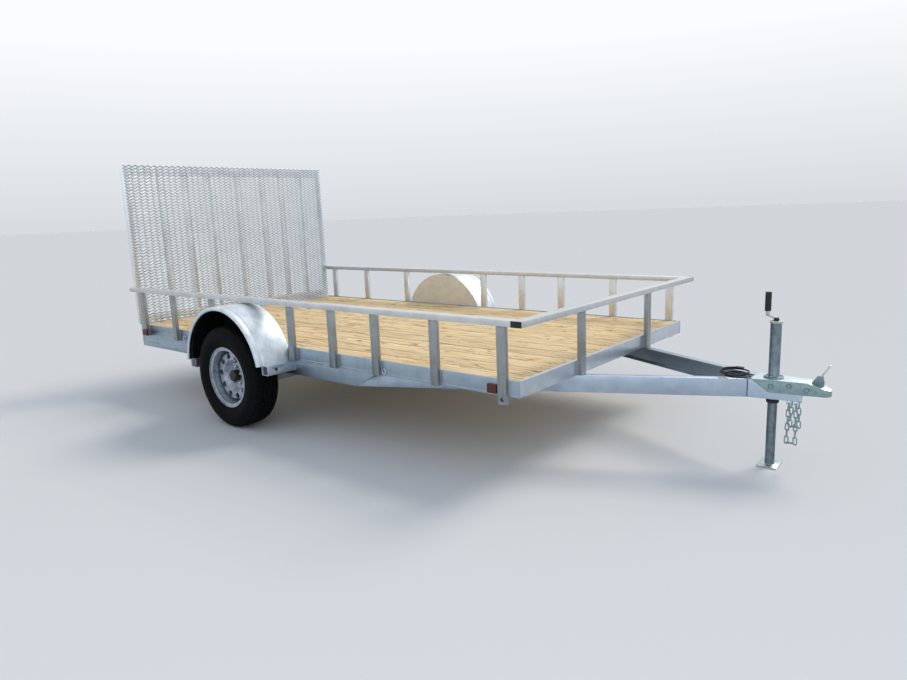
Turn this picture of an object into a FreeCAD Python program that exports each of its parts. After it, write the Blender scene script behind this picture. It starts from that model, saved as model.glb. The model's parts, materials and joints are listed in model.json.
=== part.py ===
import FreeCAD, Part
import os
from math import atan2, cos, degrees, pi, radians, sin, sqrt

# Single axle aluminium utility trailer with a wood deck and a mesh ramp gate.
# Millimetres. +X is forward to the coupler, +Y is the left side, +Z is up.
# The origin is on the ground, under the middle of the whole trailer.

V = FreeCAD.Vector
UP = V(0, 0, 1)
LEFT = V(0, 1, 0)
AHEAD = V(1, 0, 0)

# Deck frame
deck_length = 3660.0
deck_width = 1952.0
frame_top = 535.0
frame_height = 82.0
rail_wall = 5.0
rail_flange = 45.0
rail_lip = 14.0
lower_height = 92.0
# Two round holes, one over the other, near each lower rail's rear end
wire_hole = 8.0
wire_hole_ahead = 37.0
wire_hole_heights = (426.0, 393.0)
bevel_rear = 1126.0
bevel_front = 960.0

# Deck
board_thick = 38.0
board_count = 14
board_gap = 4.0
cross_count = 8
cross_width = 60.0
cross_wall = 3.0

# Tongue
tongue_reach = 760.0
tongue_half = 80.0
tip_reach = 985.0
tip_half = 48.0
tip_wall = 6.0
# Doubler plate on each tongue's web under the front rail, from its rear end to its front end
doubler_rear = 110.0
doubler_front = 10.0
doubler_thick = 4.0

# Side railing
top_rail_gap = 267.0
top_rail_height = 30.0
top_rail_width = 60.0
top_rail_wall = 3.0
post_width = 50.0
post_depth = 25.0
post_wall = 3.0
post_drop = 36.0
tab_hole = 11.0
tab_hole_below = 13.0
front_post_inset = 566.0
first_post_back = 85.0
last_post_ahead = 110.0
# How far the fender's middle is behind the post ahead of it, and ahead of the one behind it
fender_post_before = 446.0
fender_post_after = 434.0
# Where the posts stand as shares of the way, from the first post to the fender and on to the last one
post_shares_before = (0.0, 0.265, 0.535, 0.76, 1.0)
post_shares_after = (0.0, 0.534, 1.0)
cap_reach = 3.0
cap_plug = 20.0

# Running gear
axle_share = 0.58142
tyre_radius = 331.5
tyre_width = 205.0
tread_width = 158.0
bead_radius = 178.1
rim_flange = 198.0
rim_inside = 152.0
rim_sheet = 3.0
rim_lip = 7.0
seat_gap = 0.3
wheel_overhang = 134.0
disc_thick = 5.0
disc_rise = 34.0
disc_foot = 84.0
disc_crest = 106.0
disc_edge = 148.0
well_depth = 13.0
hand_holes = 10
hand_hole_radius = 16.0
hand_hole_ring = 131.0
stud_count = 5
stud_ring = 57.15
stud_radius = 6.3
nut_radius = 11.0
nut_height = 16.0
hub_bore = 39.0
hub_barrel = 38.0
hub_flange = 70.0
hub_flange_thick = 10.0
hub_overhang = 64.0
cap_radius = 37.0
cap_height = 42.0
spindle_radius = 17.0
running_gap = 0.05
arm_length = 150.0
arm_thick = 25.0
arm_drop = 20.0
arm_radius = 25.0
beam_size = 60.0
beam_wall = 5.0
beam_inset = 21.0
hanger_length = 240.0

# Fenders
fender_radius = 415.0
fender_rise = 378.0
fender_skin = 3.0
fender_overhang = 239.0
fender_bead = 12.0
step_size = 60.0
step_wall = 4.0
step_overhang = 204.0
step_hole = 10.0
step_hole_inset = 65.0
front_step_top = 452.0
rear_step_top = 411.0

# Ramp gate
gate_gap = 6.0
gate_overhang = 1.0
gate_top = 1783.0
gate_bottom_gap = 19.0
gate_depth = 32.0
gate_member = 76.0
gate_side_member = 58.0
gate_wall = 3.0
gate_bar = 38.0
# Upright bars' middles, as shares of the gate's half width
gate_bar_shares = (-0.69, -0.458, -0.243, 0.031, 0.302, 0.518, 0.744)
mesh_thick = 3.0
mesh_cell_wide = 190.0
mesh_cell_high = 102.0
mesh_strand = 9.0
hinge_drop = 22.0
# Hinges' middles, as shares of the gate's half width
hinge_shares = (-0.84, -0.297, 0.297, 0.84)
pin_radius = 7.0
lug_radius = 14.0
lug_thick = 6.0
lug_half_gap = 12.0
knuckle_gap = 1.5
latch_pin = 7.0
latch_reach = 40.0
latch_gap = 6.0
fork_inset = 16.0
fork_wide = 12.0
fork_thick = 5.0

# Coupler
coupler_reach = 1118.0
coupler_back = 775.0
coupler_wall = 5.0
coupler_skirt = 63.0
skirt_slant = 77.0
nose_radius = 38.0
nose_start = 1018.0
nose_drop = 35.0
ball_radius = 25.9
socket_depth = 24.0
latch_half = 14.0
latch_block = 52.0
latch_nose_inset = 36.0
latch_rise = 34.0
lever_half = 4.0
lever_reach = 27.0
lever_rise = 86.0

# Jack
jack_ahead = 857.0
jack_tube_radius = 26.0
jack_leg_radius = 22.5
jack_slide_gap = 0.3
jack_hole_gap = 0.5
jack_tube_below = 31.0
jack_tube_top = 738.0
jack_leg_length = 400.0
jack_leg_wall = 3.0
foot_length = 95.0
foot_width = 125.0
foot_thick = 8.0
jack_flange = 46.0
jack_flange_thick = 6.0
crank_bar = 9.0
crank_plate = 6.0
crank_arm = 102.0
crank_rise = 38.0
crank_turn = 128.0
grip_length = 95.0
grip_radius = 15.0

# Safety chains
chain_wire = 6.0
chain_inside = 34.0
chain_inside_width = 10.0
chain_play = 0.3
chain_y = 30.0
# Where the chains' ends hang, ahead of the deck's front face
chain_fore = 972.0
chain_aft = 940.0
lug_wide = 24.0
lug_deep = 24.0
lug_plate = 6.0
lug_hole = 8.0
right_chain_pairs = 3
left_chain_pairs = 2

# Lead to the towing vehicle's lamps
lead_radius = 4.0
gland_radius = 9.0
# Points of the lead from its gland into the coil, ahead of the deck's front face
lead_points = ((670, -106, 407), (660, -85, 407), (651, -66, 416), (644, -52, 433), (637, -37, 456))
coil_radius = 82.0
coil_hole = 34.0
coil_high = 28.0
coil_ahead = 690.0
coil_y = -56.0
plug_long = 42.0
plug_wide = 24.0
plug_high = 9.0

# Tie rings: how far each one's middle is ahead of its post's front edge, and which post that is
ring_ahead = (20.0, 65.0)
ring_posts = (2, 6)
ring_radius = 15.0
ring_wire = 3.5
ring_drop = 58.0

# Lamps, each as long, high and deep
marker_size = (55.0, 45.0, 15.0)
marker_behind_post = 16.0
marker_above = 9.0
side_lamp_size = (70.0, 45.0, 15.0)
side_lamp_ahead = 10.0
rear_lamp_size = (50.0, 44.0, 18.0)
rear_lamp_inset = 10.0

# Places worked out from the sizes above
rear_reach = deck_length + gate_gap + mesh_thick + gate_depth
deck_front = (rear_reach - coupler_reach) / 2
deck_rear = deck_front - deck_length
half_width = deck_width / 2
frame_bottom = frame_top - frame_height
lower_bottom = frame_bottom - lower_height
deck_top = frame_top - rail_wall
deck_bottom = deck_top - board_thick
cross_bottom = frame_bottom + rail_wall
rail_bottom = frame_top + top_rail_gap
rail_top = rail_bottom + top_rail_height
latch_height = (rail_bottom + rail_top) / 2
rail_outer = half_width + top_rail_width
front_post_y = half_width - front_post_inset
axle_x = deck_front - axle_share * deck_length
axle_z = tyre_radius
track_half = half_width + wheel_overhang
hub_face = track_half - disc_thick
hub_inner_y = half_width + hub_overhang
beam_end = half_width - beam_inset
fender_outer_y = half_width + fender_overhang
step_reach = half_width + step_overhang
gate_width = deck_width + 2 * gate_overhang
gate_bar_places = [share * gate_width / 2 for share in gate_bar_shares]
hinge_places = [share * gate_width / 2 for share in hinge_shares]
hinge_x = deck_rear - gate_gap - mesh_thick / 2 - gate_depth / 2
hinge_z = frame_top - hinge_drop
gate_front = deck_rear - gate_gap - mesh_thick
gate_rear = gate_front - gate_depth
gate_bottom = hinge_z + gate_bottom_gap
jack_x = deck_front + jack_ahead
first_post = deck_front - first_post_back
last_post = deck_rear + last_post_ahead
post_before_fender = axle_x + fender_post_before
post_after_fender = axle_x - fender_post_after
post_places = [first_post + share * (post_before_fender - first_post) for share in post_shares_before]
post_places += [post_after_fender + share * (last_post - post_after_fender) for share in post_shares_after]


def block(x0, x1, y0, y1, z0, z1):
    """A box from its low and high corners."""
    return Part.makeBox(x1 - x0, y1 - y0, z1 - z0, V(x0, y0, z0))


def outline(points):
    """A flat face from a closed list of corners."""
    return Part.Face(Part.makePolygon(points + points[:1]))


def along_x(points, x0, x1):
    """A prism along X of an outline given as y, z pairs."""
    return outline([V(x0, y, z) for y, z in points]).extrude(V(x1 - x0, 0, 0))


def along_y(points, y0, y1):
    """A prism along Y of an outline given as x, z pairs."""
    return outline([V(x, y0, z) for x, z in points]).extrude(V(0, y1 - y0, 0))


def along_z(points, z0, z1):
    """A prism along Z of an outline given as x, y pairs."""
    return outline([V(x, y, z0) for x, y in points]).extrude(V(0, 0, z1 - z0))


def rod_y(radius, x, z, y0, y1):
    """A round bar along Y."""
    return Part.makeCylinder(radius, y1 - y0, V(x, y0, z), LEFT)


def rod_z(radius, x, y, z0, z1):
    """A round bar along Z."""
    return Part.makeCylinder(radius, z1 - z0, V(x, y, z0), UP)


def fused(solids):
    """One solid from solids that touch or overlap."""
    whole = solids[0]
    for solid in solids[1:]:
        whole = whole.fuse(solid)
    return whole.removeSplitter()


def opposite(solid):
    """The same piece on the other side of the trailer."""
    return solid.mirror(V(0, 0, 0), LEFT)


def tube_box(x0, x1, y0, y1, z0, z1, wall, open_axis):
    """A rectangular tube, open at both ends along one axis."""
    low = [x0 + wall, y0 + wall, z0 + wall]
    high = [x1 - wall, y1 - wall, z1 - wall]
    axis = "xyz".index(open_axis)
    low[axis] = (x0, y0, z0)[axis] - 1
    high[axis] = (x1, y1, z1)[axis] + 1
    inside = block(low[0], high[0], low[1], high[1], low[2], high[2])
    return block(x0, x1, y0, y1, z0, z1).cut(inside)


def save(name, solids):
    """Writes the solids of one piece, or of several like pieces, as one STEP file."""
    shape = solids[0] if len(solids) == 1 else Part.makeCompound(solids)
    for solid in shape.Solids:
        if not solid.isValid():
            print("not valid:", name)
    shape.exportStep("parts/" + name + ".step")
    print(name, len(shape.Solids), "solids", round(shape.Volume / 1e6, 3), "dm3")


def save_pair(name, solid):
    """The left piece as built, and the right one as its mirror image."""
    save(name + "_left", [solid])
    save(name + "_right", [opposite(solid)])


def channel(outer, depth, z0, z1, wall, lip):
    """A channel's outline as y, z pairs: web at outer, lower flange depth wide, upper flange lip wide."""
    return [
        (outer, z0), (outer, z1), (outer - lip, z1), (outer - lip, z1 - wall),
        (outer - wall, z1 - wall), (outer - wall, z0 + wall), (outer - depth, z0 + wall), (outer - depth, z0),
    ]


def side_rail():
    """Left side rail of the deck frame, with a lip over the outer board's edge."""
    shape = channel(half_width, rail_flange, frame_bottom, frame_top, rail_wall, rail_lip)
    return along_x(shape, deck_rear, deck_front)


def end_rail(x_face, inward):
    """Front or rear rail between the side rails, with its web at x_face and its flanges inward."""
    end = half_width - rail_wall
    web = block(*sorted((x_face, x_face + inward * rail_wall)), -end, end, cross_bottom, deck_top)
    flange = block(*sorted((x_face, x_face + inward * rail_flange)), rail_flange - half_width,
                   half_width - rail_flange, frame_bottom, cross_bottom)
    lip = block(*sorted((x_face, x_face + inward * rail_lip)), rail_lip - half_width,
                half_width - rail_lip, deck_top, frame_top)
    return fused([web, flange, lip])


def crossmembers():
    """Rectangular tubes under the boards, on the side rails' lower flanges."""
    first = deck_rear + rail_flange
    last = deck_front - rail_flange - cross_width
    end = half_width - rail_wall
    tubes = []
    for number in range(cross_count):
        x0 = first + (last - first) * number / (cross_count - 1)
        tubes.append(tube_box(x0, x0 + cross_width, -end, end, cross_bottom, deck_bottom, cross_wall, "y"))
    return tubes


def boards():
    """Deck boards along the trailer, their outer edges under the side rails' lips."""
    width = (deck_width - 2 * rail_wall - (board_count - 1) * board_gap) / board_count
    first = rail_wall - half_width
    planks = []
    for number in range(board_count):
        y0 = first + number * (width + board_gap)
        planks.append(block(deck_rear + rail_wall, deck_front - rail_wall, y0, y0 + width,
                            deck_bottom, deck_top))
    return planks


def lower_rail():
    """Left channel under the side rail, from the rear to its bevelled end by the tongue."""
    bevel_low = deck_front - bevel_rear
    bevel_high = deck_front - bevel_front
    shape = channel(half_width, rail_flange, lower_bottom, frame_bottom, rail_wall, rail_flange)
    rail = along_x(shape, deck_rear, bevel_low)
    corner = [(bevel_low, lower_bottom), (bevel_high, frame_bottom), (bevel_low, frame_bottom)]
    wedge = along_y(corner, half_width - rail_wall, half_width)
    rail = fused([rail, wedge])
    x = deck_rear + wire_hole_ahead
    for height in wire_hole_heights:
        rail = rail.cut(rod_y(wire_hole, x, height, half_width - 2 * rail_wall, half_width + 1))
    return rail


def tongue():
    """Left tongue channel, from inside the lower rail's end to the tip, open to the middle."""
    x0 = deck_front - bevel_rear
    y0 = half_width - rail_wall
    x1 = deck_front + tongue_reach
    run = V(x1 - x0, tongue_half - y0, 0)
    turn = degrees(atan2(run.y, run.x))
    extra = 200.0
    shape = channel(0, rail_flange, lower_bottom, frame_bottom, rail_wall, rail_flange)
    bar = along_x(shape, -extra, run.Length + extra)
    share = run.Length / run.x
    rear_end = (bevel_rear - doubler_rear) * share
    front_end = (bevel_rear - doubler_front) * share
    doubler = block(rear_end, front_end, 0, doubler_thick, lower_bottom, frame_bottom)
    bar = fused([bar, doubler])
    bar.rotate(V(0, 0, 0), UP, turn)
    bar.translate(V(x0, y0, 0))
    return bar.common(block(x0, x1, 0, half_width - rail_wall, lower_bottom - 1, frame_bottom + 1))


def tip_outline(inset):
    """Plan of the tongue's tip as x, y pairs, inset from its outer faces."""
    x0 = deck_front + tongue_reach
    x1 = deck_front + tip_reach
    return [
        (x0 + inset, inset - tongue_half), (x1 - inset, inset - tip_half),
        (x1 - inset, tip_half - inset), (x0 + inset, tongue_half - inset),
    ]


def tongue_tip():
    """Closed box at the tongue's tip that carries the coupler, with a hole for the jack."""
    box = along_z(tip_outline(0), lower_bottom, frame_bottom)
    inside = along_z(tip_outline(tip_wall), lower_bottom + tip_wall, frame_bottom - tip_wall)
    hole = rod_z(jack_tube_radius + jack_hole_gap, jack_x, 0, lower_bottom - 1, frame_bottom + 1)
    box = box.cut(inside).cut(hole)
    pieces = [box]
    z0 = lower_bottom - lug_deep
    for side in (-1, 1):
        for ahead in (chain_fore, chain_aft):
            x = deck_front + ahead
            y = side * chain_y
            half = lug_plate / 2
            lug = block(x - lug_wide / 2, x + lug_wide / 2, y - half, y + half, z0, lower_bottom)
            pieces.append(lug.cut(rod_y(lug_hole, x, z0 + lug_deep / 2, y - lug_plate, y + lug_plate)))
    return fused(pieces)


def side_posts():
    """Posts on the left side rail's outer face, the first one longer, with a tie hole."""
    posts = []
    for number, middle in enumerate(post_places):
        low = frame_bottom - (post_drop if number == 0 else 0)
        post = tube_box(middle - post_width / 2, middle + post_width / 2, half_width, half_width + post_depth,
                        low, rail_bottom, post_wall, "z")
        if number == 0:
            hole_z = frame_bottom - tab_hole_below
            post = post.cut(rod_y(tab_hole, middle, hole_z, half_width - 1, half_width + post_depth + 1))
        posts.append(post)
    return posts


def front_posts():
    """The two posts on the front rail, down to the tongue's upper face."""
    posts = []
    for side in (-1, 1):
        middle = side * front_post_y
        posts.append(tube_box(deck_front, deck_front + post_depth, middle - post_width / 2,
                              middle + post_width / 2, frame_bottom, rail_bottom, post_wall, "z"))
    return posts


def top_rail_side():
    """Left top rail, butted against the front one."""
    return tube_box(deck_rear, deck_front, half_width, rail_outer, rail_bottom, rail_top, top_rail_wall, "x")


def top_rail_front():
    """Front top rail across the whole width, plugged by black caps."""
    return tube_box(deck_front, deck_front + top_rail_width, -rail_outer, rail_outer,
                    rail_bottom, rail_top, top_rail_wall, "y")


def rail_caps():
    """Push-in caps at both ends of the front top rail."""
    caps = []
    for side in (-1, 1):
        end = side * rail_outer
        head = block(deck_front, deck_front + top_rail_width, *sorted((end, end + side * cap_reach)),
                     rail_bottom, rail_top)
        wall = top_rail_wall
        plug = block(deck_front + wall, deck_front + top_rail_width - wall,
                     *sorted((end, end - side * cap_plug)), rail_bottom + wall, rail_top - wall)
        caps.append(fused([head, plug]))
    return caps


def step_middle(top, side):
    """Where a fender's end meets its step: ahead of the wheel for side 1, behind it for side -1."""
    return axle_x + side * sqrt(fender_radius ** 2 - (top - fender_rise) ** 2)


def half_disc(radius, y0, y1):
    """The part of a disc about the fender's middle that lies above its two steps."""
    disc = rod_y(radius, axle_x, fender_rise, y0, y1)
    front = step_middle(front_step_top, 1)
    rear = step_middle(rear_step_top, -1)
    above = [
        (front + radius, front_step_top), (front - step_size / 2, front_step_top),
        (rear + step_size / 2, rear_step_top), (rear - radius, rear_step_top),
        (rear - radius, fender_rise + radius), (front + radius, fender_rise + radius),
    ]
    return disc.common(along_y(above, y0 - 1, y1 + 1))


def fender():
    """Left fender: a round skin, a closed inner plate on the frame's face and a rolled outer edge."""
    skin = half_disc(fender_radius, half_width, fender_outer_y)
    skin = skin.cut(rod_y(fender_radius - fender_skin, axle_x, fender_rise, half_width + fender_skin,
                          fender_outer_y + 1))
    bead = half_disc(fender_radius, fender_outer_y, fender_outer_y + fender_bead)
    bead = bead.cut(rod_y(fender_radius - 2 * fender_bead, axle_x, fender_rise, fender_outer_y - 1,
                          fender_outer_y + fender_bead + 1))
    return fused([skin, bead])


def fender_steps():
    """Square tubes out from the lower rails, under both ends of each fender."""
    steps = []
    for side in (-1, 1):
        y0, y1 = sorted((side * half_width, side * step_reach))
        front = step_middle(front_step_top, 1)
        x0 = front - step_size / 2
        x1 = front + step_size / 2
        z0 = front_step_top - step_size
        tube = tube_box(x0, x1, y0, y1, z0, front_step_top, step_wall, "y")
        place = V(x1 - 2 * step_wall, side * (step_reach - step_hole_inset), z0 + step_size / 2)
        steps.append(tube.cut(Part.makeCylinder(step_hole, 3 * step_wall, place, AHEAD)))
        x0 = step_middle(rear_step_top, -1) - step_size / 2
        z0 = rear_step_top - step_size
        steps.append(tube_box(x0, x0 + step_size, y0, y1, z0, rear_step_top, step_wall, "y"))
    return steps


def axle_beam():
    """Square axle tube with a hanger on each side, up to the lower rails."""
    x0 = axle_x + arm_length - beam_size / 2
    z0 = axle_z - arm_drop - beam_size / 2
    beam = tube_box(x0, x0 + beam_size, -beam_end, beam_end, z0, z0 + beam_size, beam_wall, "y")
    middle = x0 + beam_size / 2
    half = hanger_length / 2
    foot = beam_size / 2
    shape = [(middle - foot, z0 + beam_size), (middle + foot, z0 + beam_size), (middle + half, lower_bottom),
             (middle - half, lower_bottom)]
    pieces = [beam]
    for side in (-1, 1):
        y0, y1 = sorted((side * (half_width - rail_flange), side * beam_end))
        pieces.append(along_y(shape, y0, y1))
    return fused(pieces)


def axle_arm():
    """Left trailing arm with its spindle, swung from the axle tube's end."""
    beam_x = axle_x + arm_length
    beam_z = axle_z - arm_drop
    y0 = beam_end
    y1 = beam_end + arm_thick
    slope = V(-arm_length, 0, arm_drop)
    across = V(arm_drop, 0, arm_length).normalize() * arm_radius
    start = V(beam_x, y0, beam_z)
    plate = outline([start + across, start + slope + across, start + slope - across, start - across])
    arm = plate.extrude(V(0, arm_thick, 0))
    boss = rod_y(arm_radius, beam_x, beam_z, y0, y1)
    eye = rod_y(arm_radius, axle_x, axle_z, y0, y1)
    spindle = rod_y(spindle_radius, axle_x, axle_z, y0, hub_face + 25)
    return fused([arm, boss, eye, spindle])


def around_wheel(points):
    """A ring about the left wheel's axle, from an outline given as radius, y pairs."""
    face = outline([V(axle_x, y, axle_z + radius) for radius, y in points])
    return face.revolve(V(axle_x, 0, axle_z), LEFT, 360)


def ring_holes(count, ring, radius, y0, y1, start=0.0):
    """Round bars along Y in a ring about the left wheel's axle."""
    bars = []
    for number in range(count):
        angle = radians(start + 360 * number / count)
        bars.append(rod_y(radius, axle_x + ring * sin(angle), axle_z + ring * cos(angle), y0, y1))
    return bars


def tyre():
    """Left tyre, with a flat tread and rounded shoulders."""
    half = tyre_width / 2
    tread = tread_width / 2
    bulge = (tyre_radius + bead_radius) / 2 + 5
    shoulder = tyre_radius - 8
    bead = rim_inside / 2
    seat = rim_flange + seat_gap
    rows = [
        (bead_radius, 3.0 + seat_gap - bead), (seat, seat_gap - bead - 0.5),
        (seat, -bead - rim_lip - seat_gap), (bulge - 25, -half + 4), (bulge, -half),
        (bulge + 32, -half + 6), (shoulder, -tread), (tyre_radius, 20 - tread),
    ]
    low = [(radius, track_half + y) for radius, y in rows]
    high = [(radius, track_half - y) for radius, y in reversed(rows)]
    return around_wheel(low + high)


def rim():
    """Left wheel rim: a barrel with a well and two flanges, and a dished disc with its holes."""
    bead = rim_inside / 2
    seat = bead_radius - seat_gap
    # Outer side of the barrel as radius, y from the wheel's middle
    rows = [
        (rim_flange, -bead - rim_lip), (rim_flange, -bead - 0.5), (seat, -bead + 3), (seat, -bead + 28),
        (seat - well_depth, -bead + 46), (seat - well_depth, bead - 60), (seat, bead - 34), (seat, bead - 3),
        (rim_flange, bead + 0.5), (rim_flange, bead + rim_lip),
    ]
    inner = [(radius - rim_sheet, y) for radius, y in reversed(rows)]
    barrel = around_wheel([(radius, track_half + y) for radius, y in rows + inner])
    well = seat - well_depth - rim_sheet
    face = hub_face
    crest = face + disc_rise
    # Disc from the bore out to the well, as radius, y pairs
    disc = around_wheel([
        (hub_bore, face), (disc_foot, face), (disc_crest, crest), (disc_edge, crest), (well + 0.5, face - 4),
        (well + 0.5, face + 2), (disc_edge + 2, crest + disc_thick), (disc_crest - 1, crest + disc_thick),
        (disc_foot - 1, face + disc_thick), (hub_bore, face + disc_thick),
    ])
    holes = ring_holes(hand_holes, hand_hole_ring, hand_hole_radius, face - 10, face + 40, 22.5)
    holes += ring_holes(stud_count, stud_ring, stud_radius + 0.5, face - 1, face + disc_thick + 1)
    for hole in holes:
        disc = disc.cut(hole)
    return fused([barrel, disc])


def hub():
    """Left hub: barrel, flange with studs and nuts, and a closed grease cap."""
    bore = spindle_radius + running_gap
    end = hub_face + disc_thick + cap_height
    body = around_wheel([
        (bore, hub_inner_y), (hub_barrel, hub_inner_y), (hub_barrel, hub_face - hub_flange_thick),
        (hub_flange, hub_face - hub_flange_thick), (hub_flange, hub_face), (cap_radius, hub_face),
        (cap_radius, end - 6), (cap_radius - 6, end), (0, end), (0, end - 4), (cap_radius - 6, end - 4),
        (cap_radius - 4, end - 8), (cap_radius - 4, hub_face + 4), (bore, hub_face + 4),
    ])
    pieces = [body]
    seat = hub_face + disc_thick
    pieces += ring_holes(stud_count, stud_ring, stud_radius, hub_face - 1, seat + nut_height - 2)
    for number in range(stud_count):
        angle = 2 * pi * number / stud_count
        x = axle_x + stud_ring * sin(angle)
        z = axle_z + stud_ring * cos(angle)
        turns = [k * pi / 3 for k in range(6)]
        corners = [V(x + nut_radius * cos(turn), seat, z + nut_radius * sin(turn)) for turn in turns]
        pieces.append(outline(corners).extrude(V(0, nut_height, 0)))
    return fused(pieces)


def gate_frame():
    """Ramp gate's outer frame, welded from four rectangular tubes."""
    half = gate_width / 2
    outer = block(gate_rear, gate_front, -half, half, gate_bottom, gate_top)
    window = block(gate_rear - 1, gate_front + 1, gate_side_member - half, half - gate_side_member,
                   gate_bottom + gate_member, gate_top - gate_member)
    return [outer.cut(window)]


def gate_inner_bars():
    """Upright bars inside the gate's frame."""
    bars = []
    for middle in gate_bar_places:
        bars.append(tube_box(gate_rear, gate_front, middle - gate_bar / 2, middle + gate_bar / 2,
                             gate_bottom + gate_member, gate_top - gate_member, gate_wall, "z"))
    return bars


def gate_mesh():
    """Expanded metal on the gate's inner face, drawn with wider openings than the real sheet."""
    half = gate_width / 2
    x0 = gate_front
    z_low = gate_bottom + mesh_strand
    z_high = gate_top - mesh_strand
    sheet = Part.makePolygon([V(x0, -half, gate_bottom), V(x0, half, gate_bottom), V(x0, half, gate_top),
                              V(x0, -half, gate_top), V(x0, -half, gate_bottom)])
    wide = (2 * half - 2 * mesh_strand) / round((2 * half - 2 * mesh_strand) / mesh_cell_wide)
    high = (z_high - z_low) / round((z_high - z_low) / mesh_cell_high)
    columns = round((2 * half - 2 * mesh_strand) / wide)
    rows = round((z_high - z_low) / high)
    a = wide / 2 - mesh_strand
    b = high / 2 - mesh_strand / 2
    holes = []
    for row in range(2 * rows - 1):
        shift = row % 2
        z = z_low + high / 2 * (row + 1)
        for column in range(columns - shift):
            y = mesh_strand - half + wide * (column + 0.5 + shift / 2)
            holes.append(Part.makePolygon([V(x0, y - a, z), V(x0, y, z - b), V(x0, y + a, z), V(x0, y, z + b),
                                           V(x0, y - a, z)]))
    face = Part.Face([sheet] + holes)
    face.validate()
    return face.extrude(V(mesh_thick, 0, 0))


def hinge_lugs():
    """Ears on the rear rail that hold the gate's pins."""
    ears = []
    for middle in hinge_places:
        for side in (-1, 1):
            y0, y1 = sorted((middle + side * lug_half_gap, middle + side * (lug_half_gap + lug_thick)))
            arm = block(hinge_x, deck_rear, y0, y1, hinge_z - lug_radius, hinge_z + lug_radius)
            eye = rod_y(lug_radius, hinge_x, hinge_z, y0, y1)
            hole = rod_y(pin_radius + 0.3, hinge_x, hinge_z, y0 - 1, y1 + 1)
            ears.append(fused([arm, eye]).cut(hole))
    return ears


def gate_pins():
    """Knuckles under the gate's frame, each with its pin through the ears."""
    pins = []
    for middle in hinge_places:
        half = lug_half_gap - knuckle_gap
        neck = block(hinge_x - lug_radius, hinge_x + lug_radius, middle - half, middle + half,
                     hinge_z, gate_bottom)
        eye = rod_y(lug_radius, hinge_x, hinge_z, middle - half, middle + half)
        reach = lug_half_gap + lug_thick + 5
        pin = rod_y(pin_radius, hinge_x, hinge_z, middle - reach, middle + reach)
        pins.append(fused([neck, eye, pin]))
    return pins


def gate_latches():
    """Latch pins out of the gate's sides."""
    middle = (gate_front + gate_rear) / 2
    half = gate_width / 2
    return [rod_y(latch_pin, middle, latch_height, half, half + latch_reach),
            rod_y(latch_pin, middle, latch_height, -half - latch_reach, -half)]


def latch_forks():
    """Forks at the top rails' rear ends, open behind, for the gate's latch pins."""
    forks = []
    middle = (gate_front + gate_rear) / 2
    for side in (-1, 1):
        inner = half_width + fork_inset
        y0, y1 = sorted((side * inner, side * (inner + fork_wide)))
        x0 = middle - latch_pin - fork_thick / 2
        gap = latch_pin + latch_gap
        upper = block(x0, deck_rear, y0, y1, latch_height + gap, latch_height + gap + fork_thick)
        lower = block(x0, deck_rear, y0, y1, latch_height - gap - fork_thick, latch_height - gap)
        web = block(deck_rear - fork_thick, deck_rear, y0, y1, latch_height - gap, latch_height + gap)
        forks.append(fused([upper, lower, web]))
    return forks


def coupler_outline(inset):
    """Half plan of the coupler as x, y pairs, from its back to where the round nose starts."""
    slope = (tongue_half - tip_half) / (tip_reach - tongue_reach)
    back = deck_front + coupler_back
    front = deck_front + tip_reach
    wide = tongue_half - slope * (coupler_back - tongue_reach) + coupler_wall
    return [(back, wide - inset), (front, tip_half + coupler_wall - inset)]


def coupler_form(inset, z0, z1):
    """The coupler's outer form, or with an inset its hollow, between two heights."""
    half = coupler_outline(inset)
    nose_x = deck_front + coupler_reach - nose_radius
    radius = nose_radius - inset
    half.append((nose_x, radius))
    start = V(nose_x, radius, z0)
    tip = V(nose_x + radius, 0, z0)
    end = V(nose_x, -radius, z0)
    sides = Part.makePolygon([V(x, -y, z0) for x, y in reversed(half)] + [V(x, y, z0) for x, y in half])
    wire = Part.Wire(sides.Edges + [Part.Arc(start, tip, end).toShape()])
    return Part.Face(wire).extrude(V(0, 0, z1 - z0))


def nose_top(x):
    """Height of the coupler's upper face, which slopes down over its nose."""
    start = deck_front + nose_start
    flat = frame_bottom + coupler_wall
    return flat - nose_drop * max(0, x - start) / (coupler_reach - nose_start)


def above_nose(lowered):
    """What lies above the coupler's sloping nose, or above a face lowered under it."""
    start = deck_front + nose_start
    end = deck_front + coupler_reach
    above = frame_bottom + 3 * coupler_wall
    shape = [(start, nose_top(start) - lowered), (end, nose_top(end) - lowered), (end, above), (start, above)]
    return along_y(shape, -tongue_half, tongue_half)


def coupler():
    """Pressed coupler: a plate over the tip with skirts down its sides, and the ball socket in its nose."""
    z1 = frame_bottom + coupler_wall
    z0 = z1 - coupler_skirt
    hollow = coupler_form(coupler_wall, z0 - 1, frame_bottom).cut(above_nose(coupler_wall))
    shell = coupler_form(0, z0, z1).cut(hollow)
    nose_x = deck_front + coupler_reach - nose_radius
    socket = rod_z(nose_radius - 1, nose_x, 0, z0, frame_bottom)
    socket = socket.cut(rod_z(ball_radius, nose_x, 0, z0 - 1, z0 + socket_depth))
    form = fused([shell, socket]).cut(above_nose(0))
    back = deck_front + coupler_back
    slant = [(back - 1, z0 - 1), (back + skirt_slant, z0 - 1), (back + skirt_slant, z0), (back, frame_bottom),
             (back - 1, frame_bottom)]
    form = form.cut(along_y(slant, -half_width, half_width))
    return form.cut(rod_z(jack_tube_radius + jack_hole_gap, jack_x, 0, z0, z1 + 1))


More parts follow.
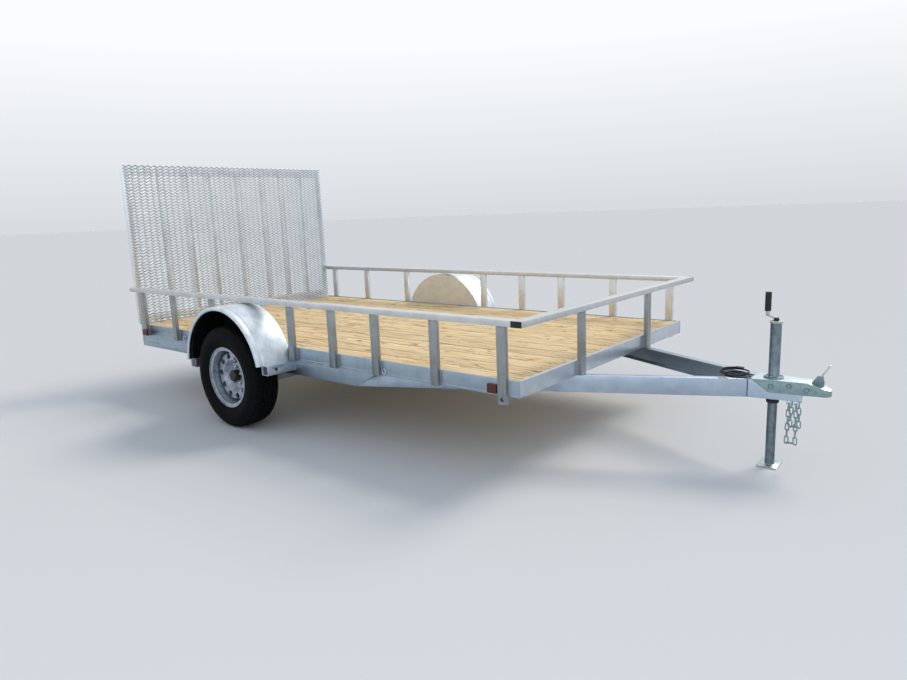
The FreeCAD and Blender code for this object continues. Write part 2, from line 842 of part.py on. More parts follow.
def coupler_latch():
    """Latch block on the coupler's sloping nose, with its lift lever."""
    z1 = frame_bottom + coupler_wall
    x1 = deck_front + coupler_reach - latch_nose_inset
    x0 = x1 - latch_block
    top = z1 + latch_rise
    body = along_y([(x0, nose_top(x0)), (x1, nose_top(x1)), (x1, z1 + 2), (x1 - 9, top), (x1 - 26, top)],
                   -latch_half, latch_half)
    lever = along_y([(x1 - 18, top - 6), (x1 - 9, top - 6), (x1 + lever_reach, z1 + lever_rise),
                     (x1 + lever_reach - 8, z1 + lever_rise + 3)], -lever_half, lever_half)
    return fused([body, lever])


def jack_tube():
    """Jack's outer tube with its mounting flange on the coupler and its cap."""
    z0 = lower_bottom - jack_tube_below
    inner = jack_leg_radius + jack_slide_gap
    plate = frame_bottom + coupler_wall
    tube = rod_z(jack_tube_radius, jack_x, 0, z0, jack_tube_top)
    flange = rod_z(jack_flange, jack_x, 0, plate, plate + jack_flange_thick)
    cap = rod_z(jack_tube_radius + 3, jack_x, 0, jack_tube_top - 4, jack_tube_top)
    return fused([tube, flange, cap]).cut(rod_z(inner, jack_x, 0, z0 - 1, jack_tube_top - 4))


def jack_leg():
    """Jack's inner leg and foot plate."""
    top = foot_thick + jack_leg_length
    leg = rod_z(jack_leg_radius, jack_x, 0, foot_thick - 1, top)
    leg = leg.cut(rod_z(jack_leg_radius - jack_leg_wall, jack_x, 0, foot_thick, top + 1))
    half = foot_length / 2
    foot = block(jack_x - half, jack_x + half, -foot_width / 2, foot_width / 2, 0, foot_thick)
    return fused([foot, leg])


def crank_place():
    """Where the grip stands, as x, y."""
    angle = radians(crank_turn)
    return jack_x + crank_arm * cos(angle), crank_arm * sin(angle)


def jack_crank():
    """Crank shaft and arm on the jack's cap."""
    x, y = crank_place()
    low = jack_tube_top + 14
    shaft = rod_z(crank_bar, jack_x, 0, jack_tube_top, low + crank_plate + 2)
    arm = block(0, crank_arm, -crank_bar, crank_bar, low, low + crank_plate)
    arm.rotate(V(0, 0, 0), UP, crank_turn)
    arm.translate(V(jack_x, 0, 0))
    end = rod_z(crank_bar, x, y, low, jack_tube_top + crank_rise)
    return fused([shaft, arm, end])


def jack_grip():
    """Black grip on the crank."""
    x, y = crank_place()
    z0 = jack_tube_top + crank_rise
    return rod_z(grip_radius, x, y, z0, z0 + grip_length)


def markers():
    """Amber side marker lamps behind the front posts."""
    lamps = []
    long, high, deep = marker_size
    x1 = first_post - post_width / 2 - marker_behind_post
    for side in (-1, 1):
        y0, y1 = sorted((side * half_width, side * (half_width + deep)))
        z0 = frame_bottom + marker_above
        lamps.append(block(x1 - long, x1, y0, y1, z0, z0 + high))
    return lamps


def tail_lamps():
    """Red lamps: one on the foot of each rear post, and one at each end of the rear rail."""
    lamps = []
    for side in (-1, 1):
        long, high, deep = side_lamp_size
        x0 = last_post + side_lamp_ahead - long / 2
        face = half_width + post_depth
        y0, y1 = sorted((side * face, side * (face + deep)))
        lamps.append(block(x0, x0 + long, y0, y1, frame_bottom + 4, frame_bottom + 4 + high))
        long, high, deep = rear_lamp_size
        outer = half_width - rear_lamp_inset
        y0, y1 = sorted((side * outer, side * (outer - long)))
        lamps.append(block(deck_rear - deep, deck_rear, y0, y1, frame_bottom + 8, frame_bottom + 8 + high))
    return lamps


def tie_rings():
    """Rings welded to the side rails' faces, two on each side."""
    rings = []
    for side in (-1, 1):
        for post, ahead in zip(ring_posts, ring_ahead):
            x = post_places[post] + post_width / 2 + ahead
            middle = V(x, side * (half_width + ring_wire), frame_top - ring_drop)
            corners = [middle + V(0, ring_wire * cos(k * pi / 4), ring_radius + ring_wire * sin(k * pi / 4))
                       for k in range(8)]
            rings.append(outline(corners).revolve(middle, LEFT, 360))
    return rings


def link_ring(half_long, half_wide, cut):
    """Corners of a link's outline with its ends chamfered, as pairs along and across it."""
    return [
        (half_long, half_wide - cut), (half_long - cut, half_wide), (cut - half_long, half_wide),
        (-half_long, half_wide - cut), (-half_long, cut - half_wide), (cut - half_long, -half_wide),
        (half_long - cut, -half_wide), (half_long, cut - half_wide),
    ]


def link(middle, along, across):
    """One chain link about its middle: along is its length, across its width."""
    half_long = chain_inside / 2
    half_wide = chain_inside_width / 2
    normal = along.cross(across)
    base = middle - normal * (chain_wire / 2)
    outer = link_ring(half_long + chain_wire, half_wide + chain_wire, 0.75 * chain_wire)
    inner = link_ring(half_long, half_wide, half_wide - chain_wire / 2 - chain_play)
    faces = [outline([base + along * x + across * y for x, y in ring]) for ring in (outer, inner)]
    return faces[0].cut(faces[1]).extrude(normal * chain_wire)


def safety_chains():
    """Two chains that hang in a loop from the lugs under the tongue's tip.

    Every other link has its ends across the trailer. The links between them stand on edge, hung on
    those ends' square bars.
    """
    across_pitch = chain_inside + chain_wire
    edge_pitch = chain_inside - chain_wire - 2 * chain_play
    links = []
    hole_z = lower_bottom - lug_deep / 2
    # The upper link's square bar lies in the lug's round hole on its two lower corners
    bar_drop = sqrt(lug_hole ** 2 - (chain_wire / 2) ** 2) - chain_wire / 2 - chain_play
    middle_x = deck_front + (chain_fore + chain_aft) / 2
    for side, pairs in ((-1, right_chain_pairs), (1, left_chain_pairs)):
        y = side * chain_y
        reach = pairs * (across_pitch + edge_pitch)
        for ahead, turn in ((chain_fore, 1), (chain_aft, -1)):
            place = V(deck_front + ahead, y, hole_z - bar_drop)
            shift = middle_x + turn * across_pitch / 2 - place.x
            along = V(shift, 0, -sqrt(reach ** 2 - shift ** 2)).normalize()
            for number in range(pairs):
                links.append(link(place + along * (across_pitch / 2), along, LEFT))
                place = place + along * across_pitch
                links.append(link(place + along * (edge_pitch / 2), along, LEFT.cross(along)))
                place = place + along * edge_pitch
        links.append(link(V(middle_x, y, place.z), AHEAD, LEFT))
    return links


def lead_path():
    """The lead's middle line: straight runs joined by tangent arcs, with the arcs' radii."""
    points = [V(deck_front + x, y, z) for x, y, z in lead_points]
    edges = []
    radii = []
    last = points[0]
    for before, corner, after in zip(points, points[1:], points[2:]):
        back = (before - corner)
        ahead = (after - corner)
        shorter = min(back.Length, ahead.Length)
        turn = pi - back.getAngle(ahead)
        trim = 0.45 * shorter
        radii.append(trim / sin(turn / 2) * cos(turn / 2))
        back.normalize()
        ahead.normalize()
        start = corner + back * trim
        end = corner + ahead * trim
        inward = (back + ahead).normalize()
        reach = radii[-1] / cos(turn / 2) - radii[-1]
        middle = corner + inward * reach
        edges.append(Part.LineSegment(last, start).toShape())
        edges.append(Part.Arc(start, middle, end).toShape())
        last = end
    edges.append(Part.LineSegment(last, points[-1]).toShape())
    return Part.Wire(edges), radii


def lead_run():
    """The lead from its gland to the coil."""
    path, radii = lead_path()
    print("lead radii", [round(radius) for radius in radii], "length", round(path.Length))
    first = path.Edges[0]
    ahead = first.tangentAt(first.FirstParameter)
    ring = Part.Wire(Part.makeCircle(lead_radius, first.valueAt(first.FirstParameter), ahead))
    tube = path.makePipeShell([ring], True, False)
    section = pi * lead_radius ** 2
    print("lead volume", round(tube.Volume), "section times length", round(section * path.Length))
    return tube


def lead_coil():
    """The outer shape of the lead's flat loops, on the tongue's upper faces."""
    x = deck_front + coil_ahead
    ring = rod_z(coil_radius, x, coil_y, frame_bottom, frame_bottom + coil_high)
    return ring.cut(rod_z(coil_hole, x, coil_y, frame_bottom - 1, frame_bottom + coil_high + 1))


def lead_gland():
    """Rubber grommet on the inner face of the right tongue's web, square to it, where the lead comes out."""
    x, y, z = lead_points[0]
    run = V(bevel_rear + tongue_reach, half_width - rail_wall - tongue_half, 0).normalize()
    inward = V(-run.y, run.x, 0)
    end = V(deck_front + x, y, z)
    corner = V(deck_front + tongue_reach, -tongue_half, z)
    length = (end - corner).dot(inward) - rail_wall
    return Part.makeCylinder(gland_radius, length, end - inward * length, inward)


def lead_plug():
    """Flat plug on top of the coil."""
    x = deck_front + coil_ahead - plug_long / 2
    y = coil_y + coil_radius - plug_wide - 8
    z = frame_bottom + coil_high
    return block(x, x + plug_long, y, y + plug_wide, z, z + plug_high)


def main():
    os.makedirs("parts", exist_ok=True)
    save_pair("side_rail", side_rail())
    save("end_rails", [end_rail(deck_front, -1), end_rail(deck_rear, 1)])
    save("crossmembers", crossmembers())
    save("deck_boards", boards())
    save("lower_rails", [lower_rail(), opposite(lower_rail())])
    save_pair("tongue", tongue())
    save("tongue_tip", [tongue_tip()])
    posts = side_posts()
    save("posts_left", posts)
    save("posts_right", [opposite(post) for post in posts])
    save("posts_front", front_posts())
    save("top_rails", [top_rail_side(), opposite(top_rail_side())])
    save("top_rail_front", [top_rail_front()])
    save("rail_caps", rail_caps())
    save_pair("fender", fender())
    save("fender_steps", fender_steps())
    save("axle_beam", [axle_beam()])
    save("axle_arms", [axle_arm(), opposite(axle_arm())])
    save_pair("tyre", tyre())
    save_pair("rim", rim())
    save_pair("hub", hub())
    save("gate_frame", gate_frame())
    save("gate_bars", gate_inner_bars())
    save("gate_mesh", [gate_mesh()])
    save("gate_ears", hinge_lugs() + latch_forks())
    save("gate_pins", gate_pins() + gate_latches())
    save("coupler", [coupler()])
    save("coupler_latch", [coupler_latch()])
    save("jack_tube", [jack_tube()])
    save("jack_leg", [jack_leg()])
    save("jack_crank", [jack_crank()])
    save("jack_grip", [jack_grip()])
    save("side_markers", markers())
    save("tail_lamps", tail_lamps())
    save("tie_rings", tie_rings())
    save("safety_chains", safety_chains())
    save("lead_gland", [lead_gland()])
    save("lead_run", [lead_run()])
    save("lead_coil", [lead_coil()])
    save("lead_plug", [lead_plug()])


main()
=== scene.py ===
import bmesh
import bpy
import json
from math import acos, atan2, cos, pi, radians, sin
from mathutils import Matrix, Vector
from mathutils.bvhtree import BVHTree


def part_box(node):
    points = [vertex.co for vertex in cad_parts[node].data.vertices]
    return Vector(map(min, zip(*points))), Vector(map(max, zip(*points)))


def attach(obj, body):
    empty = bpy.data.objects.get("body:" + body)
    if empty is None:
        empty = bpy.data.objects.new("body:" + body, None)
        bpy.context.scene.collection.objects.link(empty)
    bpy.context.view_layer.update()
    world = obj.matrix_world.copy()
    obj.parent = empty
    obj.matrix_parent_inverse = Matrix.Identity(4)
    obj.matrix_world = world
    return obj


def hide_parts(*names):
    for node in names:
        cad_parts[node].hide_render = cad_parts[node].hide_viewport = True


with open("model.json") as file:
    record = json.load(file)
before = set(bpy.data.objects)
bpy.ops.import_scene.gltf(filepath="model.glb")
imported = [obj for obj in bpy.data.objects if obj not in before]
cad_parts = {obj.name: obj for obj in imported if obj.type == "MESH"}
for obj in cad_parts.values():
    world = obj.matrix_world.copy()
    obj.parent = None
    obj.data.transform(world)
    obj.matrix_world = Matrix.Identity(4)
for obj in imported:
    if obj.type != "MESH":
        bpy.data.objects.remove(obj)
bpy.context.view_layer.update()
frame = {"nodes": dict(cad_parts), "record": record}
nodes = frame["nodes"]
scene = bpy.context.scene
bodies = frame["record"]["behaviour"]["bodies"]
bodyOf = {node: body for body, members in bodies.items() for node in members}

# Utility trailer on its jack. Metres, +X forward to the coupler, +Y the left side, +Z up.
mm = 0.001
upward = Vector((0, 0, 1))
sideSign = {"left": 1, "right": -1}
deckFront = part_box("end_rails")[1].x
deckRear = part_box("end_rails")[0].x
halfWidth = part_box("side_rail_left")[1].y
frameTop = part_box("side_rail_left")[1].z
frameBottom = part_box("side_rail_left")[0].z
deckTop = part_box("deck_boards")[1].z
axle = (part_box("tyre_left")[0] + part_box("tyre_left")[1]) / 2


# Small helpers

def linear(colour):
    # Linear colour with alpha from an sRGB hex text
    parts = [int(colour[k:k + 2], 16) / 255 for k in (1, 3, 5)]
    return [p / 12.92 if p <= 0.04045 else ((p + 0.055) / 1.055) ** 2.4 for p in parts] + [1.0]


def addNode(tree, kind, links=None, **settings):
    # A node with its settings; links holds sockets to join, or values for its inputs
    node = tree.nodes.new(kind)
    for name, value in settings.items():
        setattr(node, name, value)
    for key, value in (links or {}).items():
        if isinstance(value, bpy.types.NodeSocket):
            tree.links.new(value, node.inputs[key])
        else:
            node.inputs[key].default_value = value
    return node


def added(name, data):
    # An object of that data, in the scene
    thing = bpy.data.objects.new(name, data)
    scene.collection.objects.link(thing)
    return thing


def newPiece(name, mesh, body):
    piece = added(name, mesh)
    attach(piece, body)
    return piece


def meshFrom(name, bm, material=None, angle=35):
    # Mesh of a finished bmesh, smooth but for edges sharper than an angle
    bmesh.ops.remove_doubles(bm, verts=bm.verts, dist=0.02 * mm)
    bmesh.ops.recalc_face_normals(bm, faces=bm.faces)
    mesh = bpy.data.meshes.new(name)
    bm.to_mesh(mesh)
    bm.free()
    mesh.shade_smooth()
    mesh.set_sharp_from_angle(angle=radians(angle))
    if material:
        mesh.materials.append(material)
    return mesh


def cadForm(node):
    # A CAD node's solids as a bmesh with shared corners and whole flat faces
    source = nodes[node].data
    bm = bmesh.new()
    corners = [bm.verts.new(v.co) for v in source.vertices]
    for face in source.polygons:
        if face.area > 1e-12:
            bm.faces.new([corners[k] for k in face.vertices])
    bmesh.ops.remove_doubles(bm, verts=bm.verts, dist=0.01 * mm)
    bmesh.ops.dissolve_limit(bm, angle_limit=radians(0.5), verts=bm.verts, edges=bm.edges)
    return bm


def islands(bm):
    # Groups of joined vertices, one for each solid
    seen = set()
    groups = []
    for start in bm.verts:
        if start in seen:
            continue
        group = []
        stack = [start]
        seen.add(start)
        while stack:
            vertex = stack.pop()
            group.append(vertex)
            for edge in vertex.link_edges:
                other = edge.other_vert(vertex)
                if other not in seen:
                    seen.add(other)
                    stack.append(other)
        groups.append(group)
    return groups


def solidBoxes(node):
    # Lowest and highest corner of each solid of a CAD node
    bm = cadForm(node)
    boxes = []
    for group in islands(bm):
        low = Vector([min(v.co[k] for v in group) for k in range(3)])
        high = Vector([max(v.co[k] for v in group) for k in range(3)])
        boxes.append((low, high))
    bm.free()
    return sorted(boxes, key=lambda pair: tuple(pair[0]))


surfaces = {}


def onFace(node, start, direction):
    # Where a ray meets a CAD node, and the way its surface faces there
    if node not in surfaces:
        data = nodes[node].data
        surfaces[node] = BVHTree.FromPolygons([v.co for v in data.vertices],
                                              [f.vertices for f in data.polygons])
    return surfaces[node].ray_cast(Vector(start), Vector(direction))[:2]


def easeEdges(bm, width, segments):
    # Rounds a form's edges that turn by more than 40 degrees
    sharp = [e for e in bm.edges if len(e.link_faces) == 2 and e.calc_face_angle(0) > radians(40)]
    bmesh.ops.bevel(bm, geom=sharp, offset=width, segments=segments, profile=0.5, affect="EDGES",
                    clamp_overlap=True)


def around(count):
    # Angles that share out a full turn
    return [2 * pi * k / count for k in range(count)]


def joinRings(bm, rings, ends):
    # Faces between rings of corners. Ends are open, capped, or joined where the last ring meets the first.
    pairs = list(zip(rings, rings[1:]))
    if ends == "joined":
        pairs.append((rings[-1], rings[0]))
    for before, after in pairs:
        count = len(before)
        for k in range(count):
            bm.faces.new((before[k], before[(k + 1) % count], after[(k + 1) % count], after[k]))
    if ends == "capped":
        bm.faces.new(rings[0][::-1])
        bm.faces.new(rings[-1])


def turned(name, sides, rows, material=None, place=Vector(), axis=upward, ends="capped"):
    # Mesh of a turned form: rows of radius and height in mm along axis from place
    spin = axis.to_track_quat("Z", "Y").to_matrix()
    bm = bmesh.new()
    rings = [[bm.verts.new(place + spin @ Vector((radius * mm * cos(a), radius * mm * sin(a), height * mm)))
              for a in around(sides)] for radius, height in rows]
    joinRings(bm, rings, ends)
    return meshFrom(name, bm, material)


def facing(axis):
    # Turn that points a unit's Z along an axis
    return tuple(Vector(axis).to_track_quat("Z", "Y").to_euler())


def repeated(name, unit, places, body, material):
    # Copies of a small mesh at places with turns, by Geometry Nodes, as one plain mesh
    points = bpy.data.meshes.new(name + "Places")
    points.from_pydata([place for place, turn in places], [], [])
    turns = points.attributes.new("turn", "FLOAT_VECTOR", "POINT")
    for row, (place, turn) in zip(turns.data, places):
        row.vector = turn
    holder = added(name + "Places", points)
    pattern = added(name + "Unit", unit)
    tree = bpy.data.node_groups.new(name + "Nodes", "GeometryNodeTree")
    tree.interface.new_socket("Places", in_out="INPUT", socket_type="NodeSocketGeometry")
    part = tree.interface.new_socket("Part", in_out="INPUT", socket_type="NodeSocketObject")
    tree.interface.new_socket("Copies", in_out="OUTPUT", socket_type="NodeSocketGeometry")
    given = addNode(tree, "NodeGroupInput")
    read = addNode(tree, "GeometryNodeInputNamedAttribute", {"Name": "turn"}, data_type="FLOAT_VECTOR")
    spin = addNode(tree, "FunctionNodeEulerToRotation", {0: read.outputs["Attribute"]})
    info = addNode(tree, "GeometryNodeObjectInfo", {"Object": given.outputs["Part"]})
    placed = addNode(tree, "GeometryNodeInstanceOnPoints",
                     {"Points": given.outputs["Places"], "Instance": info.outputs["Geometry"],
                      "Rotation": spin.outputs[0]})
    real = addNode(tree, "GeometryNodeRealizeInstances", {"Geometry": placed.outputs[0]})
    coloured = addNode(tree, "GeometryNodeSetMaterial", {"Geometry": real.outputs[0], "Material": material})
    addNode(tree, "NodeGroupOutput", {0: coloured.outputs[0]})
    modifier = holder.modifiers.new("copies", "NODES")
    modifier.node_group = tree
    modifier[part.identifier] = pattern
    mesh = bpy.data.meshes.new_from_object(holder.evaluated_get(bpy.context.evaluated_depsgraph_get()))
    bpy.data.objects.remove(holder)
    bpy.data.objects.remove(pattern)
    mesh.name = name
    if not mesh.materials:
        mesh.materials.append(material)
    print(name, len(places), "copies,", len(mesh.polygons), "faces")
    return newPiece(name, mesh, body)


# Materials

def surface(name, colour, metallic, roughness, **sockets):
    # A material with its shader; sockets are named by the shader's own input names, joined by underscores
    material = bpy.data.materials.new(name)
    material.use_nodes = True
    tree = material.node_tree
    shader = tree.nodes["Principled BSDF"]
    shader.inputs["Base Color"].default_value = linear(colour)
    shader.inputs["Metallic"].default_value = metallic
    shader.inputs["Roughness"].default_value = roughness
    for key, value in sockets.items():
        shader.inputs[key.replace("_", " ")].default_value = value
    return material, tree, shader


def vectorMath(tree, operation, first, second):
    # The second value is a factor for SCALE, and else another vector
    values = {0: first, "Scale" if operation == "SCALE" else 1: second}
    return addNode(tree, "ShaderNodeVectorMath", values, operation=operation).outputs["Vector"]


def millimetres(tree):
    # The piece's own coordinates in millimetres
    return vectorMath(tree, "SCALE", addNode(tree, "ShaderNodeTexCoord").outputs["Object"], 1000.0)


def stretched(tree, where, lengths, turn=0.0):
    # Coordinates in units of three lengths in mm, turned about Z first
    spun = addNode(tree, "ShaderNodeVectorRotate", {"Vector": where, "Angle": turn}, rotation_type="Z_AXIS")
    return vectorMath(tree, "MULTIPLY", spun.outputs[0], tuple(1.0 / length for length in lengths))


def noise(tree, where, scale=1.0, detail=3.0, roughness=0.55, distortion=0.0):
    return addNode(tree, "ShaderNodeTexNoise",
                   {"Vector": where, "Scale": scale, "Detail": detail, "Roughness": roughness,
                    "Distortion": distortion}).outputs[0]


def ranged(tree, value, low, high, to=(0.0, 1.0)):
    return addNode(tree, "ShaderNodeMapRange", {"Value": value, "From Min": low, "From Max": high,
                                                "To Min": to[0], "To Max": to[1]}).outputs[0]


def math(tree, operation, first, second=0.0):
    return addNode(tree, "ShaderNodeMath", {0: first, 1: second}, operation=operation).outputs[0]


def times(tree, first, second):
    return math(tree, "MULTIPLY", first, second)


def mixed(tree, share, first, second):
    # Two colours, each a socket or a hex text
    first, second = (linear(c) if isinstance(c, str) else c for c in (first, second))
    return addNode(tree, "ShaderNodeMix", {0: share, 6: first, 7: second}, data_type="RGBA").outputs[2]


def feed(tree, shader, name, value):
    tree.links.new(value, shader.inputs[name])


def clouded(tree, shader, cloud, span, pale, deep, rough, roughSpan=(0.3, 0.7)):
    # Base colour from pale to deep over a span of a noise, and roughness along with it
    feed(tree, shader, "Base Color", mixed(tree, ranged(tree, cloud, *span), pale, deep))
    feed(tree, shader, "Roughness", ranged(tree, cloud, *roughSpan, rough))


def bumped(tree, shader, height, distance):
    # Bump of a height in mm
    bump = addNode(tree, "ShaderNodeBump", {"Height": height, "Distance": distance * mm, "Strength": 1.0})
    feed(tree, shader, "Normal", bump.outputs[0])


# Extruded aluminium, mill finish: a soft sheen with fine die lines along the extrusion, and faint stains.
# The real lines are 0.1 mm apart; they are drawn 1.6 mm apart to show.
def aluminium(name, colour, dark, roughness, lengths, turn=0.0):
    material, tree, shader = surface(name, colour, 1.0, roughness)
    where = millimetres(tree)
    lines = noise(tree, stretched(tree, where, lengths, turn), detail=4.0, roughness=0.7)
    stains = noise(tree, where, scale=1 / 90, detail=5.0, roughness=0.6)
    specks = noise(tree, where, scale=1 / 7, detail=2.0)
    dull = math(tree, "ADD", times(tree, ranged(tree, lines, 0.3, 0.7), 0.45),
                times(tree, ranged(tree, stains, 0.38, 0.68), 0.55))
    feed(tree, shader, "Base Color", mixed(tree, dull, colour, dark))
    rough = ranged(tree, dull, 0.0, 1.0, (roughness - 0.07, roughness + 0.1))
    feed(tree, shader, "Roughness", math(tree, "ADD", rough, ranged(tree, specks, 0.45, 0.75, (0.0, 0.06))))
    bumped(tree, shader, lines, 0.02)
    return material


alongX = (700, 1.6, 1.6)
alongY = (1.6, 700, 1.6)
alongZ = (1.6, 1.6, 700)
# A tongue channel runs from the rail to this far from the middle, over this length
tongueSizes = {"endInside": 0.085, "long": 1.886}
tongueTurn = atan2(halfWidth - tongueSizes["endInside"], tongueSizes["long"])
# Side rails and lower rails: a darker copy in painted shade, cool with painted sky reflection. Cross pieces
# and the tongue's tip: paler copies, painted light.
frameX = aluminium("millAluminiumFrameXPaintedShade", "#AABAC7", "#91A2B0", 0.36, alongX)
frameY = aluminium("millAluminiumFrameY", "#D3DBE3", "#B8C1CA", 0.36, alongY)
tipMetal = aluminium("millAluminiumTip", "#C9DAEC", "#B1C2D4", 0.36, alongX)
# Top rails and posts: neutral grey. The near posts: a darker copy, painted shade. The far posts: a brighter
# copy, painted sky light.
railX = aluminium("millAluminiumRailX", "#DBDEDF", "#C1C6C7", 0.35, alongX)
railY = aluminium("millAluminiumRailY", "#D6D9DA", "#BEC3C5", 0.35, alongY)
railZ = aluminium("millAluminiumPostPaintedShade", "#A4AAAC", "#8B9294", 0.37, alongZ)
postFarPaintedLight = aluminium("millAluminiumPostPaintedLight", "#E8E8E4", "#CFCFCB", 0.37, alongZ)
# Gate's frame and bars: nearly white, the brightest sections
gateY = aluminium("millAluminiumGateY", "#F0F4F7", "#DCE2E7", 0.35, alongY)
gateZ = aluminium("millAluminiumGateZ", "#F0F4F7", "#DCE2E7", 0.35, alongZ)
# Expanded metal: greyer, with stains and no die lines
meshMetal = aluminium("expandedAluminium", "#B2BBC3", "#929CA5", 0.42, (20, 20, 20))
# Tongue channels: cool grey of painted sky reflection, with die lines along their own slant. The left one is
# a darker copy, painted shade.
tongueRight = aluminium("millAluminiumTongueRight", "#BAC9D9", "#A0AFC0", 0.36, alongX, -tongueTurn)
tongueLeft = aluminium("millAluminiumTongueLeftPaintedShade", "#A6B5C2", "#8C9BA9", 0.36, alongX, tongueTurn)
# Inner plate of the fenders: flat sheet, its warm tone a painted reflection of the boards beside it
plateMetal = aluminium("flatAluminiumSheetWarmReflection", "#EAE8E0", "#D8D4CA", 0.45, (30, 30, 30))
# Underside of the fenders and the plate's wheel side: the same sheet, darkened as painted shade
fenderShadeMetal = aluminium("paintedShadeAluminium", "#3A3C3E", "#232425", 0.6, (30, 30, 30))
# Weld bead of aluminium wire: matt and mottled, without die lines
weldMetal = aluminium("weldedAluminium", "#C9CDD0", "#A9AEB2", 0.45, (9, 9, 9))


# Rolled aluminium fender sheet: bright, cool with painted sky reflection, with soft waves from rolling and
# wiped smudges
def rolledAluminium():
    material, tree, shader = surface("rolledAluminiumSheet", "#D6E0E9", 1.0, 0.42)
    where = millimetres(tree)
    waves = noise(tree, where, scale=1 / 160, detail=1.0)
    lines = noise(tree, stretched(tree, where, (2.0, 500, 2.0)), detail=3.0)
    smudge = noise(tree, where, scale=1 / 75, detail=4.0, roughness=0.6)
    clouded(tree, shader, smudge, (0.38, 0.72), "#D9E3EB", "#BBC9D5", (0.5, 0.6), (0.3, 0.75))
    bumped(tree, shader, math(tree, "ADD", times(tree, waves, 0.3), times(tree, lines, 0.02)), 1.0)
    return material


pineSizes = {
    # In mm: board pitch, outer edge of the boards, how far apart they take their grain, sway of the rings
    "pitch": 139.0, "edge": 973.0, "apart": 9000.0, "sway": 34.0, "rings": 13.0,
    # How far each pattern reaches along, across and up
    "swayLengths": (130, 260, 260), "ringLengths": (1100, 80, 80), "strongLengths": (600, 90, 90),
    "fibreLengths": (160, 1.1, 1.1), "blotchLengths": (420, 60, 60), "knotLengths": (330, 150, 150),
}
pineTones = {"pale": "#FFE7B8", "deep": "#F0CE96", "late": "#7C5430", "fibre": "#A98658", "halo": "#94693B",
             "knot": "#553719", "edge": "#8E6F4A"}


# Sawn, treated pine: pale and dry, with long pointed arches of darker late wood, knots and fibres
def treatedPine():
    material, tree, shader = surface("treatedPine", "#E6CFA4", 0.0, 0.68)
    where = millimetres(tree)
    apart = addNode(tree, "ShaderNodeSeparateXYZ", {0: where})
    fromEdge = math(tree, "ADD", apart.outputs["Y"], pineSizes["edge"])
    across = math(tree, "DIVIDE", fromEdge, pineSizes["pitch"])
    board = math(tree, "FLOOR", across)
    edge = math(tree, "ABSOLUTE", math(tree, "SUBTRACT", math(tree, "SUBTRACT", across, board), 0.5))
    chance = addNode(tree, "ShaderNodeTexWhiteNoise", {"W": board}, noise_dimensions="1D")
    # Each board takes its grain from another part of the wood
    shift = vectorMath(tree, "SCALE", chance.outputs["Color"], pineSizes["apart"])
    own = vectorMath(tree, "ADD", where, shift)

    def grain(lengths, place=own, **settings):
        return noise(tree, stretched(tree, place, pineSizes[lengths]), **settings)

    sway = times(tree, grain("swayLengths", detail=2.0), pineSizes["sway"])
    wavy = vectorMath(tree, "ADD", own, addNode(tree, "ShaderNodeCombineXYZ", {1: sway}).outputs[0])
    slow = grain("ringLengths", wavy, detail=1.0, roughness=0.45, distortion=0.2)
    rings = math(tree, "FRACT", times(tree, slow, pineSizes["rings"]))
    late = ranged(tree, rings, 0.58, 0.94)
    ridge = times(tree, math(tree, "POWER", late, 1.6), ranged(tree, rings, 1.0, 0.95))
    strong = ranged(tree, grain("strongLengths", detail=1.0), 0.35, 0.6, (0.6, 1.0))
    fibres = grain("fibreLengths", detail=3.0, roughness=0.6)
    blotch = grain("blotchLengths", detail=3.0)
    places = stretched(tree, own, pineSizes["knotLengths"])
    cells = addNode(tree, "ShaderNodeTexVoronoi", {"Vector": places, "Scale": 1.0, "Randomness": 1.0})
    knots = cells.outputs["Distance"]
    tone = mixed(tree, ranged(tree, blotch, 0.3, 0.7), pineTones["pale"], pineTones["deep"])
    layers = (
        (times(tree, times(tree, ridge, strong), 0.92), "late"),
        (times(tree, ranged(tree, fibres, 0.45, 0.75), 0.22), "fibre"),
        (times(tree, ranged(tree, knots, 0.16, 0.06), 0.5), "halo"),
        (times(tree, ranged(tree, knots, 0.085, 0.05), 0.9), "knot"),
        # Darker near each board's edges: partly dirt, partly painted shade of the rounded edges
        (ranged(tree, edge, 0.455, 0.487, (0.0, 0.4)), "edge"),
    )
    for share, name in layers:
        tone = mixed(tree, share, tone, pineTones[name])
    light = ranged(tree, chance.outputs["Value"], 0.0, 1.0, (0.9, 1.04))
    feed(tree, shader, "Base Color", vectorMath(tree, "SCALE", tone, light))
    feed(tree, shader, "Roughness", ranged(tree, ridge, 0.0, 1.0, (0.72, 0.58)))
    bumped(tree, shader, math(tree, "ADD", times(tree, ridge, 0.25), times(tree, fibres, 0.35)), 1.0)
    return material


# Hot dip galvanised steel: matt grey in patches of crystals about 9 mm across
def galvanisedSteel():
    material, tree, shader = surface("galvanisedSteel", "#8F979B", 1.0, 0.5)
    spangle = addNode(tree, "ShaderNodeTexVoronoi", {"Vector": millimetres(tree), "Scale": 1 / 9})
    feed(tree, shader, "Base Color", mixed(tree, spangle.outputs["Color"], "#838B90", "#9DA4A8"))
    return material


# Vulcanised tyre rubber: near black and matt, with a breath of dust
def tyreRubber():
    material, tree, shader = surface("tyreRubber", "#060709", 0.0, 0.8, Specular_IOR_Level=0.14)
    where = millimetres(tree)
    dust = noise(tree, where, scale=1 / 45, detail=5.0, roughness=0.65)
    clouded(tree, shader, dust, (0.4, 0.75), "#040506", "#0B0C0F", (0.72, 0.88))
    bumped(tree, shader, noise(tree, where, scale=1 / 1.5, detail=2.0), 0.12)
    return material


# Silver wheel enamel over steel: fine flakes under a thin clear coat, with clouds of dust
def silverEnamel():
    material, tree, shader = surface("silverWheelEnamel", "#B9C3CF", 0.5, 0.36, Coat_Weight=0.4)
    where = millimetres(tree)
    dust = noise(tree, where, scale=1 / 30, detail=4.0)
    clouded(tree, shader, dust, (0.4, 0.75), "#B2BCC8", "#7A8490", (0.34, 0.5))
    bumped(tree, shader, noise(tree, where, scale=1 / 1.2, detail=2.0), 0.02)
    return material


